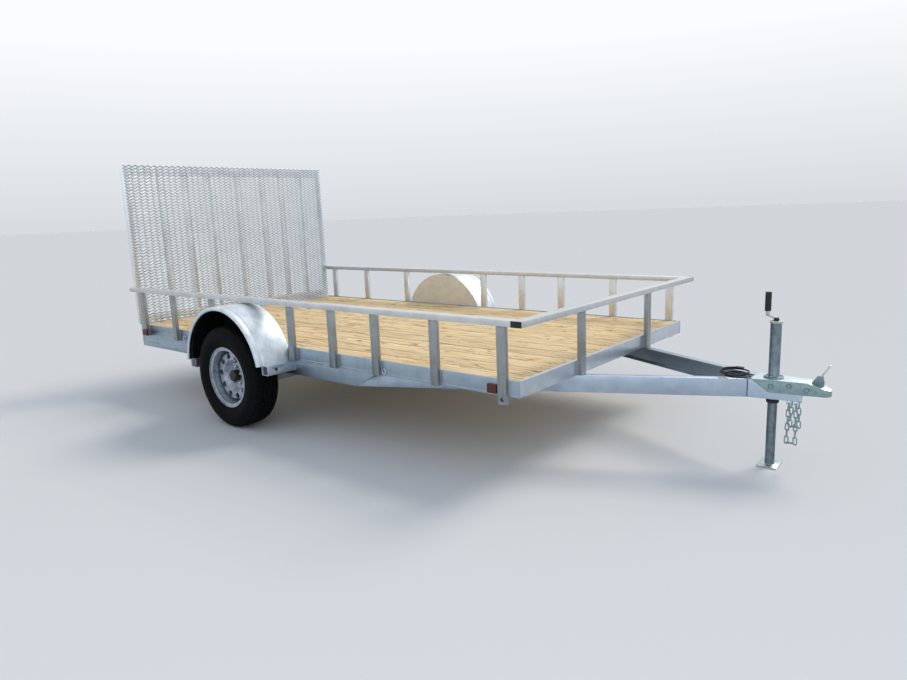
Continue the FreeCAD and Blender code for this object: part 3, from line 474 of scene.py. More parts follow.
# Bright zinc plate on pressed steel: greenish silver in soft clouds
def zincPlate(name, pale, deep, roughness):
    material, tree, shader = surface(name, pale, 1.0, roughness)
    cloud = noise(tree, millimetres(tree), scale=1 / 28, detail=4.0, roughness=0.6)
    clouded(tree, shader, cloud, (0.35, 0.7), pale, deep, (roughness - 0.06, roughness + 0.1))
    return material


# Moulded or extruded plastic and rubber: even, with a fine grain that breaks up the shine
def moulded(name, colour, roughness, grain=0.05):
    material, tree, shader = surface(name, colour, 0.0, roughness)
    fine = noise(tree, millimetres(tree), scale=1.0, detail=3.0)
    feed(tree, shader, "Roughness", ranged(tree, fine, 0.3, 0.7, (roughness - 0.05, roughness + 0.07)))
    bumped(tree, shader, fine, grain)
    return material


# Moulded acrylic lamp lens: deep colour under gloss, with prism ribs 3 mm apart
def acrylicLens(name, colour):
    material, tree, shader = surface(name, colour, 0.0, 0.45, Coat_Weight=0.05, Coat_Roughness=0.1, IOR=1.49)
    apart = addNode(tree, "ShaderNodeSeparateXYZ", {0: millimetres(tree)})
    bumped(tree, shader, math(tree, "SINE", times(tree, apart.outputs["X"], 2 * pi / 3.0)), 0.15)
    return material


fenderMetal = rolledAluminium()
pine = treatedPine()
galvanised = galvanisedSteel()
rubber = tyreRubber()
wheelSilver = silverEnamel()
# Coupler's top: the brightest copy, painted light. Its flanks: a darker copy, painted shade, which the chains
# and the coupler's bolts wear too. Jack: dull grey, its leg darker with painted shadow.
zinc = zincPlate("zincPlatedCoupler", "#D8EAEE", "#BACED2", 0.34)
zincSide = zincPlate("zincPlatedCouplerSide", "#9DB4B6", "#82999C", 0.36)
zincDull = zincPlate("zincPlatedJack", "#8797A0", "#6B7C84", 0.42)
zincLegShadow = zincPlate("zincPlatedJackLegPaintedShadow", "#76858D", "#5D6C73", 0.44)
# Bolts, nuts, crank and foot: small bright glints
zincBright = zincPlate("zincPlatedBolts", "#C6D2D3", "#A5B2B4", 0.33)
# Enamel in the rim's hollows: grey, painted shade. Round its hand holes: near black, painted shade.
rimShadeEnamel = moulded("paintedShadeWheelEnamel", "#4E5761", 0.5, 0.02)
shadedEnamel = moulded("paintedShadeHoleEnamel", "#15171A", 0.6, 0.02)
# Hub: black enamel with a low shine
hubBlack = moulded("blackHubEnamel", "#0E0F11", 0.4)
# Caps and plug: even black. Grip: coarser grain. Lead and gland: deeper black.
blackPlastic = moulded("blackMouldedPlastic", "#101114", 0.5)
vinyl = moulded("blackVinylGrip", "#101114", 0.55, 0.15)
leadRubber = moulded("extrudedLeadRubber", "#0B0B0D", 0.5)
# Unlit lamps: amber darkened to brown as painted shade, and dark red
amber = acrylicLens("amberAcrylic", "#5A200A")
red = acrylicLens("redAcrylic", "#5C0F0C")

# Which material each CAD node wears
wears = {
    frameX: ("side_rail_left", "side_rail_right", "lower_rails"),
    tipMetal: ("tongue_tip",),
    frameY: ("end_rails", "crossmembers", "fender_steps", "gate_ears", "tie_rings"),
    tongueLeft: ("tongue_left",),
    tongueRight: ("tongue_right",),
    railX: ("top_rails",),
    railY: ("top_rail_front",),
    railZ: ("posts_right", "posts_front"),
    postFarPaintedLight: ("posts_left",),
    gateY: ("gate_frame",),
    gateZ: ("gate_bars",),
    meshMetal: ("gate_mesh",),
    fenderMetal: ("fender_left", "fender_right"),
    pine: ("deck_boards",),
    galvanised: ("axle_beam", "axle_arms", "gate_pins"),
    rubber: ("tyre_left", "tyre_right"),
    wheelSilver: ("rim_left", "rim_right"),
    hubBlack: ("hub_left", "hub_right"),
    zinc: ("coupler",),
    zincSide: ("safety_chains",),
    zincBright: ("jack_crank",),
    zincDull: ("jack_tube", "coupler_latch"),
    zincLegShadow: ("jack_leg",),
    blackPlastic: ("rail_caps", "lead_plug"),
    vinyl: ("jack_grip",),
    leadRubber: ("lead_gland", "lead_run", "lead_coil"),
    amber: ("side_markers",),
    red: ("tail_lamps",),
}
for material, names in wears.items():
    for name in names:
        nodes[name].data.materials.clear()
        nodes[name].data.materials.append(material)
print("materials done")


# Camera as in the photo. Angles in degrees.

cameraSizes = {"place": (3.0373, -3.5273, 1.3283), "pitch": 10.71, "roll": -2.25, "yaw": 129.93}
cameraSettings = {"sensor_width": 36, "lens": 27.0, "clip_start": 0.05, "clip_end": 500}


def camera():
    yaw, pitch, roll = (radians(cameraSizes[key]) for key in ("yaw", "pitch", "roll"))
    ahead = Vector((cos(yaw) * cos(pitch), sin(yaw) * cos(pitch), -sin(pitch)))
    right = Vector((sin(yaw), -cos(yaw), 0))
    up = right.cross(ahead)
    tiltedRight = right * cos(roll) + up * sin(roll)
    tiltedUp = up * cos(roll) - right * sin(roll)
    data = bpy.data.cameras.new("camera")
    for name, value in cameraSettings.items():
        setattr(data, name, value)
    thing = added("camera", data)
    turn = Matrix((tiltedRight, tiltedUp, -ahead)).transposed().to_4x4()
    thing.matrix_world = Matrix.Translation(cameraSizes["place"]) @ turn
    scene.camera = thing


camera()


# Eased edges on metal sections, boards and lamps, which keep their form

def easedPiece(node, width, segments):
    bm = cadForm(node)
    if width:
        easeEdges(bm, width * mm, segments)
    mesh = meshFrom(node + "Eased", bm, nodes[node].data.materials[0], angle=32)
    piece = newPiece(node + "_eased", mesh, bodyOf[node])
    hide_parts(node)


def otherFaces(node, material, chosen):
    # Gives the faces that a test chooses another material
    mesh = bpy.data.objects[node + "_eased"].data
    mesh.materials.append(material)
    for face in mesh.polygons:
        if chosen(face):
            face.material_index = 1


# Edge radius in mm, segments, nodes. Without a radius a form is only shaded smooth.
easedRows = (
    (1.0, 2, ("side_rail_left", "side_rail_right", "lower_rails", "end_rails")),
    (1.0, 2, ("tongue_left", "tongue_right")),
    (2.0, 2, ("posts_left", "posts_right", "posts_front", "top_rails", "top_rail_front", "gate_bars")),
    (2.0, 2, ("gate_frame", "fender_steps", "tongue_tip")),
    (3.0, 3, ("deck_boards", "side_markers", "tail_lamps")),
    (1.5, 2, ("rail_caps", "coupler_latch", "lead_plug")),
    (2.2, 3, ("coupler",)),
    (1.2, 2, ("jack_tube", "jack_leg", "jack_crank", "hub_left", "hub_right")),
    (0.0, 0, ("rim_left", "rim_right")),
)
for width, segments, names in easedRows:
    for name in names:
        easedPiece(name, width, segments)

# Height of the jack's foot, radii that hold the rim's barrel, and how a barrel's face and a flank face
faceSizes = {"footTop": 14 * mm, "barrelFrom": 0.155, "barrelTo": 0.172, "inward": 0.5, "flank": 0.6}
latchLow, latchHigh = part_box("coupler_latch")
latchMiddle = (latchLow.z + latchHigh.z) / 2


def barrelFace(face):
    # The barrel's inner side, between the disc and the seat of the bead: it takes painted shade
    out = Vector((face.center.x - axle.x, 0, face.center.z - axle.z))
    inside = faceSizes["barrelFrom"] < out.length < faceSizes["barrelTo"]
    return inside and face.normal.dot(out) < -faceSizes["inward"] * out.length


# The jack's foot and the latch's upper half are brighter. The coupler's flanks and the rims' barrels are
# darker: painted shade.
otherFaces("jack_leg", zincBright, lambda face: face.center.z < faceSizes["footTop"])
otherFaces("coupler", zincSide, lambda face: abs(face.normal.z) < faceSizes["flank"])
for side in sideSign:
    otherFaces("rim_" + side, rimShadeEnamel, barrelFace)
otherFaces("coupler_latch", zincBright, lambda face: face.center.z > latchMiddle)
print("eased pieces done")


# Lead: points from its gland, given one by one, then turns worked out, as in the part's source

leadSizes = {
    "radius": 4.0, "aTurn": 16, "turns": 3.125, "startAngle": 153.7, "lowest": 457.5, "highest": 485.5,
    # Middle of the coil ahead of the deck's front and to the left
    "ahead": 690.0, "left": -56.0,
    # Turns from the start, radius of the coil there
    "radii": ((0.0, 59.0), (0.3, 72.0), (1.1, 50.0), (2.0, 74.0), (2.6, 60.0), (2.95, 73.0), (3.125, 65.5)),
}
leadPoints = ((670, -106, 407), (660, -85, 407), (651, -66, 416), (644, -52, 433), (637, -37, 456))


def leadTurns():
    points = []
    turns = leadSizes["turns"]
    steps = round(turns * leadSizes["aTurn"])
    rows = leadSizes["radii"]
    for step in range(steps + 1):
        turn = turns * step / steps
        for (before, first), (after, second) in zip(rows, rows[1:]):
            if before <= turn <= after:
                share = (turn - before) / (after - before)
                radius = first + (second - first) * share * share * (3 - 2 * share)
        angle = radians(leadSizes["startAngle"]) - 2 * pi * turn
        height = leadSizes["lowest"] + (leadSizes["highest"] - leadSizes["lowest"]) * step / steps
        points.append((leadSizes["ahead"] + radius * cos(angle), leadSizes["left"] + radius * sin(angle),
                       height))
    return points


def lead():
    curve = bpy.data.curves.new("lead", "CURVE")
    curve.dimensions = "3D"
    curve.bevel_depth = leadSizes["radius"] * mm
    curve.bevel_resolution = 5
    curve.resolution_u = 4
    curve.use_fill_caps = True
    spline = curve.splines.new("NURBS")
    points = [*leadPoints, *leadTurns()]
    spline.points.add(len(points) - 1)
    for point, (x, y, z) in zip(spline.points, points):
        point.co = (deckFront + x * mm, y * mm, z * mm, 1)
    spline.order_u = 3
    spline.use_endpoint_u = True
    curve.materials.append(leadRubber)
    cord = added("lead", curve)
    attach(cord, "trailer")
    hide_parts("lead_run", "lead_coil")


lead()


# Expanded metal of the gate: one X of four strands and two knots, on a grid

meshSizes = {
    "longWay": 50.8 * mm, "shortWay": 23.4 * mm, "strand": 4.4 * mm, "thick": 2.6 * mm, "edge": 9 * mm,
    "lean": 0.35,  # How far a strand's edge stands out of the sheet, as a share of its width
    # Knot: half its length up to its tips, the tips, and shares of the strand's width and thickness
    "knotHalf": 5.5 * mm, "knotTip": 4 * mm, "knotWide": 0.92, "knotThick": 0.7,
}


def expandedMetal():
    low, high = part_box("gate_mesh")
    halfLong = meshSizes["longWay"] / 2
    halfShort = meshSizes["shortWay"] / 2
    strand = meshSizes["strand"]
    thick = meshSizes["thick"]
    bm = bmesh.new()

    def corner(long, short, lift):
        # Long way along Y, short way along Z, thickness along X
        return bm.verts.new((lift, long, short))

    slope = Vector((-halfShort, halfLong)).normalized() * strand / 2
    for flipShort in (1, -1):
        for flipLong in (1, -1):
            ends = []
            for share in (0.0, 1.0):
                long = halfLong * share * flipLong
                short = halfShort * share * flipShort
                ends.append([corner(long + slope.x * flipLong * a, short + slope.y * flipShort * a,
                                    meshSizes["lean"] * strand * a + thick / 2 * b)
                             for a, b in ((-1, -1), (1, -1), (1, 1), (-1, 1))])
            joinRings(bm, ends, "open")
    # Knots where four strands meet
    cut = meshSizes["knotHalf"]
    tip = cut + meshSizes["knotTip"]
    wide = strand * meshSizes["knotWide"]
    shape = [(-tip, 0), (-cut, -wide), (cut, -wide), (tip, 0), (cut, wide), (-cut, wide)]
    for long, short in ((0, 0), (halfLong, halfShort)):
        faces = [[corner(long + a, short + b, side * meshSizes["knotThick"] * thick) for a, b in shape]
                 for side in (-1, 1)]
        joinRings(bm, faces, "capped")
    bmesh.ops.recalc_face_normals(bm, faces=bm.faces)
    unit = bpy.data.meshes.new("expandedMetalUnit")
    bm.to_mesh(unit)
    bm.free()

    columns = int((high.y - low.y - 2 * meshSizes["edge"]) / meshSizes["longWay"]) - 1
    rows = int((high.z - low.z - 2 * meshSizes["edge"]) / meshSizes["shortWay"])
    middle = (low + high) / 2
    places = [((middle.x, middle.y + (c - columns / 2) * meshSizes["longWay"],
                middle.z + (r - rows / 2) * meshSizes["shortWay"]), (0, 0, 0))
              for c in range(columns + 1) for r in range(rows + 1)]
    piece = repeated("expanded_metal", unit, places, "gate", meshMetal)
    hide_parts("gate_mesh")


expandedMetal()


# Tyres with ribs, grooves and sipes. Sizes in mm.

tyreSizes = {
    "radius": 331.5, "crownDrop": 1.1, "crownHalf": 59.0,
    "grooves": (-38.0, -13.0, 13.0, 38.0), "grooveDeep": 7.0, "grooveHalf": 3.5, "grooveFloor": 0.75,
    # Blocks in a turn, then where in a block the sections lie: the second one is the sipe's bottom
    "pitches": 66, "shares": (0.0, 0.08, 0.16, 0.56), "sipeDeep": 3.5,
    # Sipes cut the ribs' tops, and the wall from the shoulder out to here where its radius is large
    "shoulder": 58, "sipeTo": 82, "sipeAbove": 320,
    # Blocks slant by so many pitches over that many mm across, up to the crown's edge
    "slant": 0.35, "slantOver": 30.0, "slantTo": 60,
}
# Half section from the bead out to the shoulder, as y from the middle, radius
sideWall = (
    (-72.9, 178.4), (-74.3, 186.3), (-76.2, 197.3), (-79, 198.4), (-83.4, 198.6), (-84.6, 203), (-88.5, 210),
    (-93.5, 222), (-97.8, 234), (-98.4, 236), (-100, 238.5), (-101.6, 246), (-102.5, 256), (-102.5, 263),
    (-101.6, 271), (-101, 273), (-100.6, 276), (-98.8, 283), (-96.2, 290), (-94.2, 294.5), (-92.8, 297.5),
    (-90, 304), (-86.5, 311), (-84, 317.5), (-79.5, 322.5), (-73, 326.5), (-66, 328.8), (-59, 330.4),
)


def tyreSection():
    # Closed section as y, radius, and whether the point lies on the top of a rib
    deep = tyreSizes["grooveDeep"]
    half = tyreSizes["grooveHalf"]
    bottom = half * tyreSizes["grooveFloor"]
    tread = []
    for place in tyreSizes["grooves"]:
        tread += [(place - half, 0), (place - bottom, -deep), (place + bottom, -deep), (place + half, 0)]
    crown = [(y, tyreSizes["radius"] - tyreSizes["crownDrop"] * (y / tyreSizes["crownHalf"]) ** 2 + drop,
              drop == 0) for y, drop in tread]
    return [(y, r, False) for y, r in sideWall] + crown + [(-y, r, False) for y, r in reversed(sideWall)]


def tyre(side):
    low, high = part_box("tyre_" + side)
    middle = (low + high) / 2
    pitches = tyreSizes["pitches"]
    section = tyreSection()
    bm = bmesh.new()
    rings = []
    for pitch in range(pitches):
        for number, share in enumerate(tyreSizes["shares"]):
            ring = []
            for y, r, top in section:
                treads = top or abs(y) > tyreSizes["shoulder"]
                sipe = number == 1 and treads and abs(y) < tyreSizes["sipeTo"] and r > tyreSizes["sipeAbove"]
                cut = tyreSizes["sipeDeep"] if sipe else 0.0
                run = y / tyreSizes["slantOver"] if abs(y) < tyreSizes["slantTo"] else 0.0
                angle = 2 * pi * (pitch + share + tyreSizes["slant"] * run) / pitches
                reach = (r - cut) * mm
                ring.append(bm.verts.new((middle.x + reach * sin(angle), middle.y + y * mm,
                                          middle.z + reach * cos(angle))))
            rings.append(ring)
    joinRings(bm, rings, "joined")
    mesh = meshFrom("tyreTread_" + side, bm, rubber, angle=38)
    piece = newPiece("tyre_tread_" + side, mesh, "wheel_" + side)
    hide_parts("tyre_" + side)
    return len(mesh.polygons)


print("tyres", tyre("left"), tyre("right"))


# Rounded chain links in the places of the CAD ones. Wire is the radius.

linkSizes = {"wire": 3.0 * mm, "sides": 8, "turns": 6}


def roundLink(halfLong, halfWide):
    # A link of round wire, long along X, flat across Z
    wire = linkSizes["wire"]
    bend = halfWide - wire
    straight = halfLong - halfWide
    bm = bmesh.new()
    rings = []
    for end in (1, -1):
        for k in range(linkSizes["turns"] + 1):
            angle = pi * k / linkSizes["turns"] - pi / 2
            place = Vector((end * (straight + bend * cos(angle)), end * bend * sin(angle), 0))
            out = Vector((end * cos(angle), end * sin(angle), 0))
            rings.append([bm.verts.new(place + (out * cos(a) + upward * sin(a)) * wire)
                          for a in around(linkSizes["sides"])])
    joinRings(bm, rings, "joined")
    return meshFrom("chainLink", bm, angle=80)


def chains():
    form = cadForm("safety_chains")
    places = []
    for group in islands(form):
        points = [v.co for v in group]
        middle = sum(points, Vector()) / len(points)
        # The longest edge gives the link's length direction, its largest face the flat side
        edge = max((e for v in group for e in v.link_edges), key=lambda e: e.calc_length())
        along = (edge.verts[0].co - edge.verts[1].co).normalized()
        flat = max((f for v in group for f in v.link_faces), key=lambda f: f.calc_area())
        across = flat.normal.cross(along).normalized()
        longs = [(p - middle).dot(along) for p in points]
        wides = [(p - middle).dot(across) for p in points]
        thick = [(p - middle).dot(flat.normal) for p in points]
        if max(wides) - min(wides) < max(thick) - min(thick):
            across = flat.normal.copy()
            wides = thick
        place = middle + along * (max(longs) + min(longs)) / 2 + across * (max(wides) + min(wides)) / 2
        turn = Matrix((along, across, along.cross(across))).transposed().to_euler()
        places.append((tuple(place), tuple(turn)))
        halfLong = (max(longs) - min(longs)) / 2
        halfWide = (max(wides) - min(wides)) / 2
    form.free()
    link = roundLink(halfLong, halfWide)
    piece = repeated("chain_links", link, places, "trailer", zincSide)
    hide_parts("safety_chains")


chains()


# Fenders of rolled sheet with a swage and a rolled outer edge, and an inner plate. Sizes in mm.

fenderSizes = {"ahead": -2128.0, "height": 378.0, "rings": 72, "frontEnd": 452.0, "rearEnd": 411.0,
               "plate": 976.0, "sheet": 3.0, "cornerCut": 30.0,
               # How far out the plate's faces and the faces of painted shade underneath lie, and how they
               # face
               "plateWithin": 980.0, "shadeWithin": 1212.0, "flat": 0.9, "inward": 0.7}
# Section as y from the trailer's middle, radius: outer face, rolled edge, inner face
fenderSection = (
    (976, 415), (1174, 415), (1180, 413), (1185, 409.5), (1190, 413), (1196, 415), (1212, 415),
    (1219, 413.6), (1224.5, 410), (1227, 404), (1227, 397), (1225, 393), (1221, 391), (1217, 393),
    (1215.5, 397), (1215.5, 407), (1212, 411.5), (1196, 412), (1190, 410), (1185, 406.5), (1180, 410),
    (1174, 412), (976, 412),
)


def fender(side):
    flip = sideSign[side]
    middleX = deckFront + fenderSizes["ahead"] * mm
    height = fenderSizes["height"]
    bm = bmesh.new()
    rings = []
    for step in range(fenderSizes["rings"] + 1):
        ring = []
        for y, radius in fenderSection:
            rear = -acos((fenderSizes["rearEnd"] - height) / radius)
            front = acos((fenderSizes["frontEnd"] - height) / radius)
            angle = rear + (front - rear) * step / fenderSizes["rings"]
            ring.append(bm.verts.new((middleX + radius * mm * sin(angle), flip * y * mm,
                                      (height + radius * cos(angle)) * mm)))
        rings.append(ring)
    joinRings(bm, rings, "capped")
    # Inner plate, with its lower corners as in the solid
    outline = [ring[-1].co.copy() for ring in rings]
    cut = fenderSizes["cornerCut"] * mm
    outline += [Vector((outline[-1].x - cut, 0, fenderSizes["frontEnd"] * mm)),
                Vector((outline[0].x + cut, 0, fenderSizes["rearEnd"] * mm))]
    plates = [[bm.verts.new((p.x, flip * (fenderSizes["plate"] + depth) * mm, p.z)) for p in outline]
              for depth in (0.0, fenderSizes["sheet"])]
    joinRings(bm, plates, "capped")
    mesh = meshFrom("fenderSheet_" + side, bm, fenderMetal, angle=40)
    mesh.materials.append(plateMetal)
    mesh.materials.append(fenderShadeMetal)
    hub = Vector((middleX, 0, height * mm))
    # Plate's deck side: painted warm reflection. Its wheel side and the sheet's underside: painted shade.
    for face in mesh.polygons:
        out = face.center - hub
        out.y = 0
        far = abs(face.center.y)
        inward = face.normal.dot(out) < -fenderSizes["inward"] * out.length
        plate = far < fenderSizes["plateWithin"] * mm and abs(face.normal.y) > fenderSizes["flat"]
        if plate and face.normal.y * flip < 0:
            face.material_index = 1
        elif plate or (inward and far < fenderSizes["shadeWithin"] * mm):
            face.material_index = 2
    piece = newPiece("fender_sheet_" + side, mesh, "trailer")
    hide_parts("fender_" + side)


for side in sideSign:
    fender(side)
print("fenders done")


# Deck screws with recessed heads, two in each board over each crossmember

screwSizes = {"fromEdge": 24.0, "rows": ((4.8, -1.2), (4.8, 0.1), (4.3, 0.4), (1.9, 0.4), (1.5, -0.8))}


def deckScrews():
    inset = screwSizes["fromEdge"] * mm
    places = []
    for low, high in solidBoxes("deck_boards"):
        for under, over in solidBoxes("crossmembers"):
            for y in (low.y + inset, high.y - inset):
                places.append((((under.x + over.x) / 2, y, deckTop), (0, 0, 0)))
    unit = turned("deckScrew", 10, screwSizes["rows"])
    repeated("deck_screws", unit, places, "trailer", galvanised)


deckScrews()


# Weld beads: small round ripples along the joints

weldSizes = {
    "bead": 2.3 * mm, "step": 2.1 * mm, "inset": 3 * mm,
    # Stitches on the lower rails: how many, the first one's place from the front end, their pitch and length
    "stitches": 26, "first": 0.11, "pitch": 0.1, "stitch": 0.034,
}


def weldLine(places, start, end):
    start = Vector(start)
    end = Vector(end)
    steps = max(1, round((end - start).length / weldSizes["step"]))
    for k in range(steps + 1):
        places.append((tuple(start.lerp(end, k / steps)), (0, 0, 0)))


def weldBead():
    bm = bmesh.new()
    bmesh.ops.create_uvsphere(bm, u_segments=6, v_segments=4, radius=weldSizes["bead"])
    return meshFrom("weldBead", bm, angle=80)


def frameWelds():
    places = []
    inset = weldSizes["inset"]
    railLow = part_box("top_rails")[0].z
    for hand, flip in sideSign.items():
        face = flip * halfWidth
        for low, high in solidBoxes("posts_" + hand):
            outer = high.y if flip > 0 else low.y
            for x in (low.x, high.x):
                weldLine(places, (x, face, frameBottom + inset), (x, face, frameTop - inset))
                weldLine(places, (x, face, railLow), (x, outer, railLow))
            weldLine(places, (low.x, outer, railLow), (high.x, outer, railLow))
    for low, high in solidBoxes("posts_front"):
        for y in (low.y, high.y):
            weldLine(places, (low.x, y, frameBottom + inset), (low.x, y, frameTop - inset))
            weldLine(places, (low.x, y, railLow), (high.x, y, railLow))
        weldLine(places, (high.x, low.y, railLow), (high.x, high.y, railLow))
    # Upright beads where the fender steps meet the rails, and stitches along the lower rails' top edges
    for low, high in solidBoxes("fender_steps"):
        face = low.y if low.y > 0 else high.y
        for x in (low.x, high.x):
            weldLine(places, (x, face, low.z + inset), (x, face, high.z - inset))
    for low, high in solidBoxes("lower_rails"):
        face = high.y if high.y > 0 else low.y
        for k in range(weldSizes["stitches"]):
            x = high.x - (weldSizes["first"] + weldSizes["pitch"] * k)
            weldLine(places, (x, face, high.z), (x - weldSizes["stitch"], face, high.z))
    repeated("frame_welds", weldBead(), places, "trailer", weldMetal)


def gateWelds():
    places = []
    for low, high in solidBoxes("gate_bars"):
        for z in (low.z, high.z):
            weldLine(places, (high.x, low.y, z), (high.x, high.y, z))
            for y in (low.y, high.y):
                weldLine(places, (low.x + weldSizes["bead"], y, z), (high.x, y, z))
    repeated("gate_welds", weldBead(), places, "gate", weldMetal)


frameWelds()
gateWelds()


# Bolts, nuts and hand hole lips. Sizes in mm, angles in radians but for the lips' start in degrees.

boltSizes = {
    "head": 9.0, "height": 6.5, "washer": 13.0, "washerThick": 1.8,
    # On both sides of the coupler's skirt: ahead of the deck's front, height
    "coupler": ((863, 427), (942, 436), (1017, 422)),
    # Round the jack's flange: how many, circle's radius, angle of the first, scale
    "jackCount": 3, "jackCircle": 36.5, "jackAngle": 0.5, "jackScale": 0.7,
}
# Plated nuts over the hub's own. Low is how far a nut starts below the top of the hub's own.
nutSizes = {"count": 5, "circle": 57.15, "low": 14,
            "rows": ((11.6, -0.4), (11.6, 12.0), (9.0, 14.6), (6.5, 17.2), (2.5, 18.2))}
lipSizes = {"inner": 15.3, "outer": 18.8, "circle": 131.0, "proud": 0.6, "deep": 1.0, "sides": 20,
            "count": 10, "start": 22.5}
# Where rays start, in metres: beside the tongue, above the jack's flange, outside the wheels
rayFrom = {"side": 0.3, "above": 0.6, "wheel": 1.4}


def washer():
    radius = boltSizes["washer"]
    thick = boltSizes["washerThick"]
    return turned("washer", 14, ((radius, -0.6), (radius, thick * 0.7), (radius - 0.6, thick)))


def hexHead(size):
    # Hex head on a washer's height
    thick = boltSizes["washerThick"] * size
    head = boltSizes["head"] * size
    tall = boltSizes["height"] * size
    top = thick + tall
    return turned("hexHead", 6, ((head, thick - 0.4), (head, thick + tall * 0.82), (head * 0.86, top)))


def couplerBolts():
    places = []
    for ahead, height in boltSizes["coupler"]:
        for flip in sideSign.values():
            start = (deckFront + ahead * mm, flip * rayFrom["side"], height * mm)
            place, normal = onFace("coupler", start, (0, -flip, 0))
            places.append((tuple(place), facing(normal)))
    repeated("coupler_washers", washer(), places, "trailer", zincDull)
    repeated("coupler_bolts", hexHead(1.0), places, "trailer", zincSide)


def jackBolts():
    low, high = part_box("jack_tube")
    middle = (low + high) / 2
    circle = boltSizes["jackCircle"] * mm
    places = []
    for k, turn in enumerate(around(boltSizes["jackCount"])):
        angle = turn + boltSizes["jackAngle"]
        start = (middle.x + circle * cos(angle), middle.y + circle * sin(angle), rayFrom["above"])
        places.append((tuple(onFace("jack_tube", start, (0, 0, -1))[0]), (0, 0, 0.3 + k)))
    unit = hexHead(boltSizes["jackScale"])
    repeated("jack_bolts", unit, places, "trailer", zincBright)


def wheelSpot(circle, angle, y):
    return (axle.x + circle * mm * sin(angle), y, axle.z + circle * mm * cos(angle))


def wheelFace(node, circle, angle, flip):
    # How far out a wheel's node reaches at a spot on a circle
    return onFace(node, wheelSpot(circle, angle, flip * rayFrom["wheel"]), (0, -flip, 0))[0].y


def wheelNuts(side):
    flip = sideSign[side]
    circle = nutSizes["circle"]
    places = []
    for angle in around(nutSizes["count"]):
        foot = wheelFace("hub_" + side, circle, angle, flip) - flip * nutSizes["low"] * mm
        places.append((wheelSpot(circle, angle, foot), facing((0, flip, 0))))
    unit = turned("wheelNut", 6, nutSizes["rows"])
    repeated("wheel_nuts_" + side, unit, places, "wheel_" + side, zincBright)


def handHoleLips(side):
    # Turned in edge of each hand hole, near black: painted shade in the hole
    flip = sideSign[side]
    circle = lipSizes["circle"]
    places = []
    for turn in around(lipSizes["count"]):
        angle = radians(lipSizes["start"]) + turn
        face = wheelFace("rim_" + side, circle, angle + pi / lipSizes["count"], flip)  # Between two holes
        places.append((wheelSpot(circle, angle, face), facing((0, flip, 0))))
    rows = ((lipSizes["outer"], -lipSizes["deep"]), (lipSizes["outer"], lipSizes["proud"]),
            (lipSizes["inner"], lipSizes["proud"] * 0.5), (lipSizes["inner"], -lipSizes["deep"]))
    unit = turned("handHoleLip", lipSizes["sides"], rows, ends="joined")
    repeated("hand_hole_lips_" + side, unit, places, "wheel_" + side, shadedEnamel)


for side in sideSign:
    handHoleLips(side)
couplerBolts()
jackBolts()
for side in sideSign:
    wheelNuts(side)


# Small pieces: dark strips of painted shade at the tongue's tip, bands on the side rails, valve stems, jack
# cap, bush, and a collar that is partly painted shadow

# Angle from the top in radians, distances in mm, and the lean's parts outwards and towards the axle
stemSizes = {"angle": 0.72, "circle": 158, "out": 1158, "lean": (0.8, 0.6),
             "rows": ((7.5, -9), (7.5, 1), (5.2, 4), (4.6, 18), (4.0, 20), (4.0, 27), (2.8, 29))}
# Piece, material, a node that is not used, sides, rows of radius and height above the ground in mm
jackRows = (
    ("jack_cap", zincBright, "jack_tube", 32,
     ((24, 731), (30.5, 732), (31, 733), (31, 739), (29.5, 741), (14, 743.5), (12, 743.5))),
    ("jack_cap_bush", blackPlastic, "jack_grip", 20,
     ((12.5, 743), (13, 744), (13, 751), (10.5, 756), (9.8, 757))),
    # Collar: a black ring that is partly the swivel ring and partly painted shadow under the tip
    ("jack_collar", blackPlastic, "jack_grip", 32,
     ((25, 330.4), (29.5, 330.6), (30.2, 332), (30.2, 345), (29, 346.5), (25, 347))),
)


def valveStem(side):
    flip = sideSign[side]
    angle = stemSizes["angle"]
    out = Vector((sin(angle), 0, cos(angle)))
    place = Vector((axle.x, flip * stemSizes["out"] * mm, axle.z)) + out * stemSizes["circle"] * mm
    axis = (Vector((0, flip, 0)) * stemSizes["lean"][0] - out * stemSizes["lean"][1]).normalized()
    mesh = turned("valveStem_" + side, 12, stemSizes["rows"], leadRubber, place, axis)
    newPiece("valve_stem_" + side, mesh, "wheel_" + side)


def jackFittings():
    low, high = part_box("jack_tube")
    foot = Vector(((low.x + high.x) / 2, 0, 0))
    for name, material, node, sides, rows in jackRows:
        newPiece(name, turned(name, sides, rows, material, foot), "trailer")


# Ahead and height say where a ray meets the channel's web, gap how far ahead of that the seam starts
seamSizes = {"long": 4.0 * mm, "proud": 0.5 * mm, "deep": 3.0 * mm, "end": 2 * mm,
             "ahead": 751.0 * mm, "height": 0.41, "gap": 4.5 * mm}


def tipSeamShade():
    # Dark strip of painted shade in the gap between each tongue channel and the tip
    low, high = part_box("tongue_right")
    deep = seamSizes["deep"]
    proud = seamSizes["proud"]
    bm = bmesh.new()
    for hand, flip in sideSign.items():
        start = (deckFront + seamSizes["ahead"], flip * rayFrom["side"], seamSizes["height"])
        place, normal = onFace("tongue_" + hand, start, (0, -flip, 0))
        along = upward.cross(normal).normalized()
        if along.x < 0:
            along = -along
        rings = []
        for z in (low.z + seamSizes["end"], high.z - seamSizes["end"]):
            ring = []
            for run, depth in ((0, -deep), (1, -deep), (1, proud), (0, proud)):
                spot = place + along * (seamSizes["gap"] + run * seamSizes["long"]) + normal * depth
                ring.append(bm.verts.new((spot.x, spot.y, z)))
            rings.append(ring)
        joinRings(bm, rings, "capped")
    newPiece("tip_seams", meshFrom("tipSeamShade", bm, blackPlastic), "trailer")


bandSizes = {"low": 454.5 * mm, "high": 468.0 * mm, "proud": 1.3 * mm, "inset": 2.0 * mm, "edge": 0.8 * mm}


